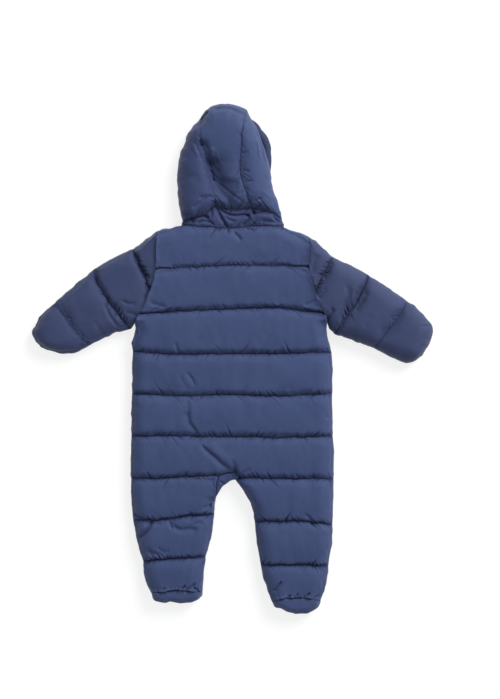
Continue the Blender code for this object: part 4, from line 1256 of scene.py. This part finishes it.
hood = dict(seamHeight=9.2, wall=9.0, base=10.0, crest=17.0, sideReach=30.0, endReach=26.0, lift=8.0,
            browHeight=297, flatten=1.4, samples=60)
hoodCreases = [
    ([(-37, 330), (-33, 300), (-26, 272), (-20, 248)], 6.0, 22.0, 0.5, 0.3),
    ([(-36, 322), (-33, 300), (-27, 283), (-19, 268), (-8, 256), (6, 246)], 6.0, 10.0, 0.2, 0.15),
    ([(-29, 286), (-12, 270), (7, 255), (22, 242)], 1.6, 1.7, 0.0, 0.25),
    ([(-27, 283), (-12, 279), (2, 277), (15, 280)], 3.4, 10.0, -0.3, 0.3),
    ([(-36, 317), (-36, 309), (-35, 301)], 3.2, 1.9, 0.0, 0.2),
    ([(-35, 302), (-31, 290), (-28, 280)], 2.4, 2.0, -0.2, 0.2),
    ([(-50, 346), (-44, 331), (-37, 317), (-33, 303)], 3.0, 9.0, -0.3, 0.2),
    ([(-51, 347), (-49, 341), (-46, 335)], 4.2, 2.6, 0.0, 0.2),
    ([(-49, 342), (-43, 338), (-38, 330)], 1.6, 2.0, 0.0, 0.3),
    ([(-36, 336), (-28, 322), (-20, 314)], -2.0, 4.0, 0.0, 0.3),
    ([(-30, 332), (-24, 314), (-20, 300)], 1.8, 2.6, -0.3, 0.3),
    ([(-34, 318), (-26, 302), (-18, 290)], 1.4, 2.2, -0.3, 0.3),
    ([(-66, 343), (-59, 330), (-52, 316)], -2.8, 2.8, 0.0, 0.3),
    ([(-60, 336), (-54, 324), (-48, 312)], 2.4, 3.0, 0.0, 0.3),
    ([(-38, 392), (-44, 385), (-51, 377)], 9.0, 2.3, 0.0, 0.15),
    ([(-58, 386), (-50, 379), (-41, 377)], 1.8, 2.6, 0.0, 0.3),
    ([(-44, 378), (-50, 372), (-60, 368)], 2.2, 2.4, 0.0, 0.3),
    ([(-36, 396), (-15, 397), (-2, 396), (14, 389), (27, 384)], 3.0, 3.0, -0.6, 0.2),
    ([(-30, 404), (-8, 403), (10, 397)], -0.8, 3.0, 0.0, 0.3),
    ([(22, 397), (24, 390), (20, 384)], 3.0, 2.0, 0.0, 0.2),
    ([(24, 391), (33, 382), (43, 368), (50, 350)], 2.4, 2.2, 0.0, 0.2),
    ([(30, 386), (40, 368), (47, 348), (54, 328), (59, 303)], -4.6, 2.6, 0.0, 0.2),
    ([(32, 374), (40, 354), (47, 331), (52, 306)], 4.0, 2.6, 0.3, 0.2),
    ([(36, 352), (41, 334), (45, 314)], -2.4, 2.4, 0.0, 0.3),
    ([(-88, 284), (-70, 286), (-50, 286)], 1.2, 6.0, 0.0, 0.3),
    ([(-54, 254), (-38, 257), (-28, 252)], 2.4, 2.6, -0.3, 0.2),
    ([(-66, 238), (-52, 246), (-38, 256)], 2.2, 2.4, -0.3, 0.2),
    ([(-80, 234), (-72, 228), (-63, 228)], 3.4, 3.6, 0.0, 0.2),
    ([(14, 300), (22, 296), (30, 295)], 1.8, 1.8, 0.0, 0.3),
    ([(14, 322), (20, 325), (27, 326)], 1.8, 1.6, 0.0, 0.3),
    ([(16, 276), (24, 279), (34, 280)], 2.0, 1.8, 0.0, 0.3),
    ([(18, 268), (14, 262), (6, 259)], 1.8, 1.8, 0.0, 0.3),
    ([(34, 246), (40, 252), (50, 254)], 2.4, 2.0, 0.0, 0.3),
    ([(38, 262), (52, 256), (66, 244)], 1.6, 6.0, -0.4, 0.3),
    ([(62, 262), (68, 244), (76, 230)], 1.6, 3.0, -0.3, 0.3),
]
hoodRims = [hoodSideLeft, hoodSideRight, hoodBrowRight, crown]


def hoodTop(plan):
    # rounded rise from the rims, lower towards the collar, with a swell under the crown; and the painted shade
    # along its seams, gather line, nicks and deep folds
    x, y = plan[..., 0], plan[..., 1]
    rims, ends = fromCurves(plan, hoodRims), fromCurves(plan, [gatherLeft, gatherCentre, gatherRight])
    seamLeft, seamRight = (fromCurves(plan, [seam]) for seam in (hoodSeamLeft, hoodSeamRight))
    seams = np.minimum(seamLeft, seamRight)
    flowing = 0.6 * ramp(-x, 50, 66)
    fromEnds = rounded(ends, hood["endReach"] * (1 + 0.6 * bell(x, 24)))
    height = hood["base"] + hood["crest"] * (1 - (1 - flowing) * (1 - fromEnds))
    height += hood["lift"] * bell(y - 365, 45)
    height += noiseSum(x, y, (1.0, 34, 34, 31), (0.5, 13, 22, 32))
    height -= 0.9 * bell(seamLeft, 1.6) + 1.5 * bell(seamRight, 1.6) + 0.9 * np.exp(-seams / 6)
    besideSeams, seamNickShade = gathers(y + gather["zero"], seams, 33, 0.5)
    besideEnds, endNickShade = gathers(x + gather["zero"], ends, 36, 1.1, 2.0)
    # painted shade along the seams and the gather line, patchy and dotted, less at the left where the hood
    # flows over
    patchy = 0.55 + 0.45 * noiseLine(x / 11 + 40, 38)
    dotted = 0.65 + 0.35 * noiseLine(y / 7 + 40, 37)
    near = np.maximum(0.35 * bell(seamLeft, 0.8), dotted * bell(seamRight, 0.95))
    near = np.maximum(near, 0.45 * patchy * bell(ends, 1.2))
    near = np.maximum(near, np.maximum(0.3 * seamNickShade, 0.6 * endNickShade)) * (1 - 0.8 * ramp(-x, 52, 62))
    deep = creased(plan, hoodCreases)
    over = rounded(rims, hood["sideReach"])
    folds = over * (besideSeams + besideEnds + deep) * ramp(ends, 0, 2.0)
    return over * height, shaded(near, deep), np.minimum(np.minimum(seams, ends), rims), folds


def hoodPatches():
    # of each piece the upper patches and the lower one: two lines, two sides, rows, columns and the
    # borders that are folded
    seamRight = joined(alongCurve(hoodSeamRight[:5], even(44)), alongCurve(hoodSeamRight[4:], even(60)))
    yield ("left", [(gatherLeft, [crown[0]] * 2, hoodSideLeft, hoodSeamLeft, 104, 40, "left last")],
           ([gatherLeft[0], openingLeft[0]], [crown[0], openingLeft[-1]], hoodSideLeft, openingLeft, 104, 12,
            "left"))
    yield ("centre", [(gatherCentre, crown, hoodSeamLeft, seamRight, 104, 44, "last")],
           (openingTop, crown, [openingTop[0], crown[0]], [openingTop[-1], crown[-1]], 8, 44, "last"))
    yield ("right", [(gatherRight, hoodCrossRight, hoodSeamRight[:5], hoodSideRight, 44, 40, "right"),
                     (hoodCrossRight, [crown[-1]] * 2, hoodSeamRight[4:], hoodBrowRight, 60, 40, "")],
           ([openingRight[0], gatherRight[-1]], [openingRight[-1], hoodSideRight[-1]], openingRight,
            hoodSideRight, 44, 12, "right"))


def makeHood():
    # hollow: each piece has its outer layer, and beneath it a flat one round the face opening
    cut = dict(left=(0.082, 0.215, 0.0150), centre=(0.100, 0.185, 0.0105), right=(0.070, 0.190, 0.0095))
    seam, slit = hood["seamHeight"], cloth["slit"] / 2
    for name, upper, lower in hoodPatches():
        sheets, close, hold, details = [], [], [], []
        for first, last, left, right, rows, columns, folded in upper + [lower]:
            sides = (side if isinstance(side, np.ndarray) else alongCurve(side, even(rows))
                     for side in (left, right))
            plan = blendGrid(alongCurve(first, even(columns)), alongCurve(last, even(columns)), *sides)
            inside = tucked(plan, cloth["foldWall"], folded)
            away = fromCurves(plan, hoodRims, hood["samples"])
            if len(sheets) < len(upper):
                brow = np.clip((plan[..., 1] - hood["browHeight"]) / 10, 0, 1) if name == "right" else 0
                top, paintedShade, least, fine = hoodTop(plan)
                details.append(fine)
                hold.append(1 - ramp(least, 0.3, 2.5))
                outer = seam + top + np.where(away == 0, brow, 1) * cloth["rimWall"]
                roof = seam + hoodTop(inside)[0] + fine + cloth["rimWall"] - hood["wall"]
                inner = np.maximum(roof, seam + slit)
            else:
                paintedShade = np.zeros(plan.shape[:2])
                full = cloth["stitchWall"] * rounded(away, cloth["rimReach"])
                outer, inner = np.maximum(seam - hood["flatten"] * full, 0), seam - slit
            sheets.append((raised(plan, outer), under(raised(inside, inner))))
            close.append(paintedShade)
        tops = settled([outer for outer, _ in sheets[:-1]], hold, details)
        sheets[:-1] = [(outer, inner) for outer, (_, inner) in zip(tops, sheets)]
        # the hood's left side in a darker copy of the shell: painted shade
        piece = closedWall(name + "Hood", sheets, shadedHoodAndCollarShell if name == "left" else shell, "navy_shell", close)
        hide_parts("hood_" + name)
        width, length, area = cut[name]


makeHood()


def makeHoodBand():
    # arch from one side of the neck over the brow to the other; its section is rounded at both edges
    plan = endGrid(alongCurve(bandOuter, even(280)), alongCurve(bandInner, even(280)), 8)
    top = hood["seamHeight"] - cloth["seamGap"]
    edges = np.minimum(fromSide(plan, "first"), fromSide(plan, "last"))
    low = top * (1 - rounded(edges + 2.5, 4)) + 0.5 * (edges > 1) * bell(edges - 3, 0.8)
    piece = closedWall("hoodBand", [(raised(plan, low), under(raised(plan, top)))], trim, "navy_trim",
                       [np.zeros(plan.shape[:2])])
    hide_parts("hood_band")


makeHoodBand()

collar = dict(crest=3.5, strength=1.3, rows=24, flatten=1.4, seed=9500)
collarCreases = [
    ([(-26, 244), (-19, 228), (-12, 216), (-7, 206)], 5.0, 2.4, -0.4, 0.1),
    ([(-24, 243), (-16, 236), (-6, 230), (6, 228), (18, 229), (30, 228)], 4.6, 2.2, -0.4, 0.12),
    ([(-22, 241), (-12, 237), (0, 234), (12, 234)], 2.0, 1.6, 0.0, 0.2),
    ([(-14, 226), (-4, 220), (6, 217)], 2.0, 2.4, 0.0, 0.2),
    ([(22, 230), (26, 223), (23, 217), (15, 211)], 4.2, 1.9, 0.0, 0.12),
    ([(33, 238), (33, 232), (36, 228)], 5.0, 2.4, 0.0, 0.2),
    ([(30, 238), (35, 232), (43, 233), (56, 236)], 2.8, 1.9, -0.3, 0.2),
    ([(35, 227), (52, 226), (70, 222)], -1.8, 5.0, 0.0, 0.2),
    ([(44, 219), (58, 218), (74, 215)], 2.0, 2.6, 0.0, 0.2),
    ([(-64, 219), (-63, 226), (-56, 228), (-44, 226), (-36, 221)], 6.0, 2.6, -0.2, 0.12),
    ([(-63, 228), (-65, 222), (-62, 215)], 5.0, 2.6, 0.0, 0.2),
    ([(-58, 214), (-50, 218), (-38, 217), (-28, 211)], 3.2, 2.2, 0.0, 0.15),
    ([(-36, 222), (-33, 229), (-34, 238)], 2.2, 1.9, 0.0, 0.2),
    ([(-45, 226), (-38, 233), (-30, 238)], 2.6, 1.8, 0.0, 0.2),
    ([(-78, 217), (-72, 220), (-66, 218)], 2.4, 4.0, 0.0, 0.3),
    ([(64, 229), (68, 222), (78, 215)], 2.8, 2.2, 0.0, 0.2),
]


def collarPatches():
    # the layer behind the neck, then the two that lie on the fronts
    edge = front["zipHalf"] + cloth["seamGap"]
    left, right = [neck[2], (-82, 215), gatherLeft[0]], [neck[6], (82, 214), gatherRight[-1]]
    gatherLine = joined(alongCurve(gatherLeft, even(40)), alongCurve(gatherCentre, even(44)),
                        alongCurve(gatherRight, even(40)))
    yield neck[2:7], gatherLine, left, right, 124, "left right", 1
    yield ([neck[2], (-50, 209.8), (-edge, 207.4)], [gatherLeft[0], (-46, 220.6), (-edge, 219)], left,
           [(-edge, 208), (-edge, 219)], 36, "left", -1)
    yield ([(edge, 207.4), (50, 209.8), neck[6]], [(edge, 219), (46, 219.6), gatherRight[-1]],
           [(edge, 208), (edge, 219)], right, 36, "right", -1)


def makeCollar():
    # a band folded at its upper edge, between the neck's seam and the hood's gathered one
    middle, fold = (cloth["seamHeight"] + hood["seamHeight"]) / 2, cloth["foldWall"]
    sheets, close = [], []
    for k, (first, last, left, right, columns, folded, layer) in enumerate(collarPatches()):
        last = last if isinstance(last, np.ndarray) else alongCurve(last, even(columns))
        plan = blendGrid(alongCurve(first, even(columns)), last,
                         *(alongCurve(side, even(collar["rows"])) for side in (left, right)))
        inside = drawIn(tucked(plan, fold, folded), 0, fold * 0.6, 0)
        kinds = dict(first=dict(line=1.0), last=dict(line=0.45 + 0.45 * noiseLine(last[:, 0] / 11 + 40, 38)))
        kinds.update((side, dict(rim=1.0)) for side in folded.split())
        full, paintedShade, nicks = puff(plan, kinds, collar["crest"], collar["seed"] + 40 * k,
                                     strength=collar["strength"], rim=0.0)
        if layer > 0:
            hold = held(plan, kinds)
            folds = creased(plan, collarCreases) * np.clip(full / 9, 0, 1)
            # painted shade in the collar's deep folds
            paintedShade = shaded(paintedShade, folds)
            clear = ramp(np.minimum(fromSide(plan, "first"), fromSide(plan, "last")), 0, 2.0)
            detail = finely(full, (nicks + folds) * clear)
        full = np.maximum(full, 0)
        outer = middle + full if layer > 0 else np.maximum(middle - collar["flatten"] * full, 0)
        sheets.append(doubleLayer(plan, inside, outer, middle, layer))
        close.append(paintedShade)
    sheets[0] = (settled([sheets[0][0]], [hold], [detail])[0], sheets[0][1])
    # the collar in a darker copy of the shell: painted shade under the hood
    piece = closedWall("collarBand", sheets, shadedHoodAndCollarShell, "navy_shell", close)
    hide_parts("collar")


makeCollar()


# stitches, zip tapes and teeth

stitch = dict(pitch=3.0, length=2.3, radius=0.26, sides=5, dip=0.35, lift=0.12)
knots = dict(places=[(4, -125), (-79, -317), (103, -329)], stitches=7, reach=2.0, lift=0.35)
zipSet = dict(bottom=-142.0, top=219.0, half=12.0, gap=0.15, low=9.4, high=11.0, steps=(240, 12),
              weave=0.06, weaveTurn=4.2, cord=0.2)
teeth = dict(pitch=2.5, low=7.3, tip=0.4, start=1.0, chainTop=202.0, stopTop=207.0, stopAside=1.4,
             outline=[(-2.4, -0.55), (-0.7, -0.42), (-0.3, -0.56), (0.45, -0.5), (0.45, 0.5), (-0.3, 0.56),
                      (-0.7, 0.42), (-2.4, 0.55)])


def ringFaces(count):
    # faces between three rings of count vertices
    return [[r * count + k, r * count + (k + 1) % count, (r + 1) * count + (k + 1) % count, (r + 1) * count + k]
            for r in (0, 1) for k in range(count)]


def stitchShape():
    # one stitch along x: rings that dip at both ends, closed to a point, as vertices and faces
    half, radius, sides = stitch["length"] / 2, stitch["radius"], stitch["sides"]
    turns = np.linspace(0, 2 * np.pi, sides, endpoint=False)
    rings = [np.stack([np.full(sides, x), size * np.cos(turns), z + size * np.sin(turns)], 1)
             for x, size, z in ((-0.7 * half, 0.8 * radius, 0.0), (0, radius, stitch["lift"]),
                                (0.7 * half, 0.8 * radius, 0.0))]
    tips = [[-half, 0, -stitch["dip"]], [half, 0, -stitch["dip"]]]
    faces = ringFaces(sides) + [[3 * sides, (k + 1) % sides, k] for k in range(sides)]
    faces += [[3 * sides + 1, 2 * sides + k, 2 * sides + (k + 1) % sides] for k in range(sides)]
    return np.vstack(rings + [tips]), faces


def toothShape():
    # three levels of its outline, the lowest one smaller
    outline = np.array(teeth["outline"])
    count = len(outline)
    levels = ((teeth["low"], 0.8), (teeth["low"] + teeth["tip"], 1.0), (zipSet["low"] - 0.1, 1.0))
    shape = np.vstack([np.column_stack([outline * size, np.full(count, z)]) for z, size in levels])
    return shape, ringFaces(count) + [list(range(count))[::-1], list(range(2 * count, 3 * count))]


def repeated(shape, faces, centres, angles):
    # copies of a shape, each turned about z by its angle and moved to its centre
    centres, turn, count = np.vstack(centres), np.concatenate(angles)[:, None], len(shape)
    x, y, z = (shape[None, :, k] for k in (0, 1, 2))
    placed = np.stack([x * np.cos(turn) - y * np.sin(turn), x * np.sin(turn) + y * np.cos(turn),
                       np.broadcast_to(z, (len(centres), count))], -1) + centres[:, None]
    return placed.reshape(-1, 3), [[v + count * k for v in face] for k in range(len(centres)) for face in faces]


def makeStitches():
    # every pitch along each quilting line one stitch, turned as the line runs
    centres, angles = [], []
    for path in stitchPaths:
        run = runOf(path[:, :2])
        places = np.arange(stitch["pitch"], run[-1] - stitch["pitch"], stitch["pitch"])
        fine = np.stack([np.interp(places, run, path[:, k]) for k in range(3)], 1)
        ahead = np.stack([np.interp(places + 1, run, path[:, k]) for k in range(2)], 1) - fine[:, :2]
        centres.append(fine + [0, 0, stitch["lift"]])
        angles.append(np.arctan2(ahead[:, 1], ahead[:, 0]))
    lines = np.vstack(centres)
    for x, y in knots["places"]:     # a bar tack: crosswise stitches side by side
        nearest = lines[np.argmin(np.hypot(lines[:, 0] - x, lines[:, 1] - y))]
        aside = np.linspace(-knots["reach"], knots["reach"], knots["stitches"])
        centres.append(nearest + np.outer(aside, [1, 0, 0]) + [0, 0, knots["lift"]])
        angles.append(np.full(knots["stitches"], np.pi / 2))
    addMesh("quiltStitches", *repeated(*stitchShape(), centres, angles), thread, "navy_trim")


makeStitches()


def makeTapes():
    # two woven tapes, each with a cord along its outer edge
    half, sheets = zipSet["half"], []
    rows, columns = zipSet["steps"]
    for sign in (-1, 1):
        across = [sign * zipSet["gap"], sign * half][::sign]
        bottom, top = ([(x, zipSet[key]) for x in across] for key in ("bottom", "top"))
        plan = endGrid(alongCurve(bottom, even(columns)), alongCurve(top, even(columns)), rows)
        away = half - np.abs(plan[..., 0])
        woven = (zipSet["weave"] * np.sin(plan[..., 1] * zipSet["weaveTurn"])
                 + zipSet["cord"] * bell(away - 1.2, 0.5))
        sheets.append((raised(plan, zipSet["low"] - woven), under(raised(plan, zipSet["high"]))))
    piece = closedWall("zipTape", sheets, trim, "zip_tape")
    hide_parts("zip")


def makeTeeth():
    # their heads take turns across the middle; above the closed slider each tape has one stop
    centres, angles = [], []
    for side, start in ((0, teeth["start"]), (1, teeth["start"] + teeth["pitch"] / 2)):
        places = np.arange(zipSet["bottom"] + start, teeth["chainTop"], teeth["pitch"])
        centres.append(np.column_stack([np.zeros(len(places)), places, np.zeros(len(places))]))
        angles.append(np.full(len(places), side * np.pi))
    centres.append(np.array([[x, teeth["stopTop"], 0] for x in (-teeth["stopAside"], teeth["stopAside"])]))
    angles.append(np.full(2, np.pi / 2))
    addMesh("zipTeeth", *repeated(*toothShape(), centres, angles), plastic, "zip_tape", smooth=False)


makeTapes()
makeTeeth()

# the slider and its tab keep their solids, in metal
for name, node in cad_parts.items():
    if not node.hide_render:
        node.data.materials.clear()
        node.data.materials.append(metal)
        print("kept", name)
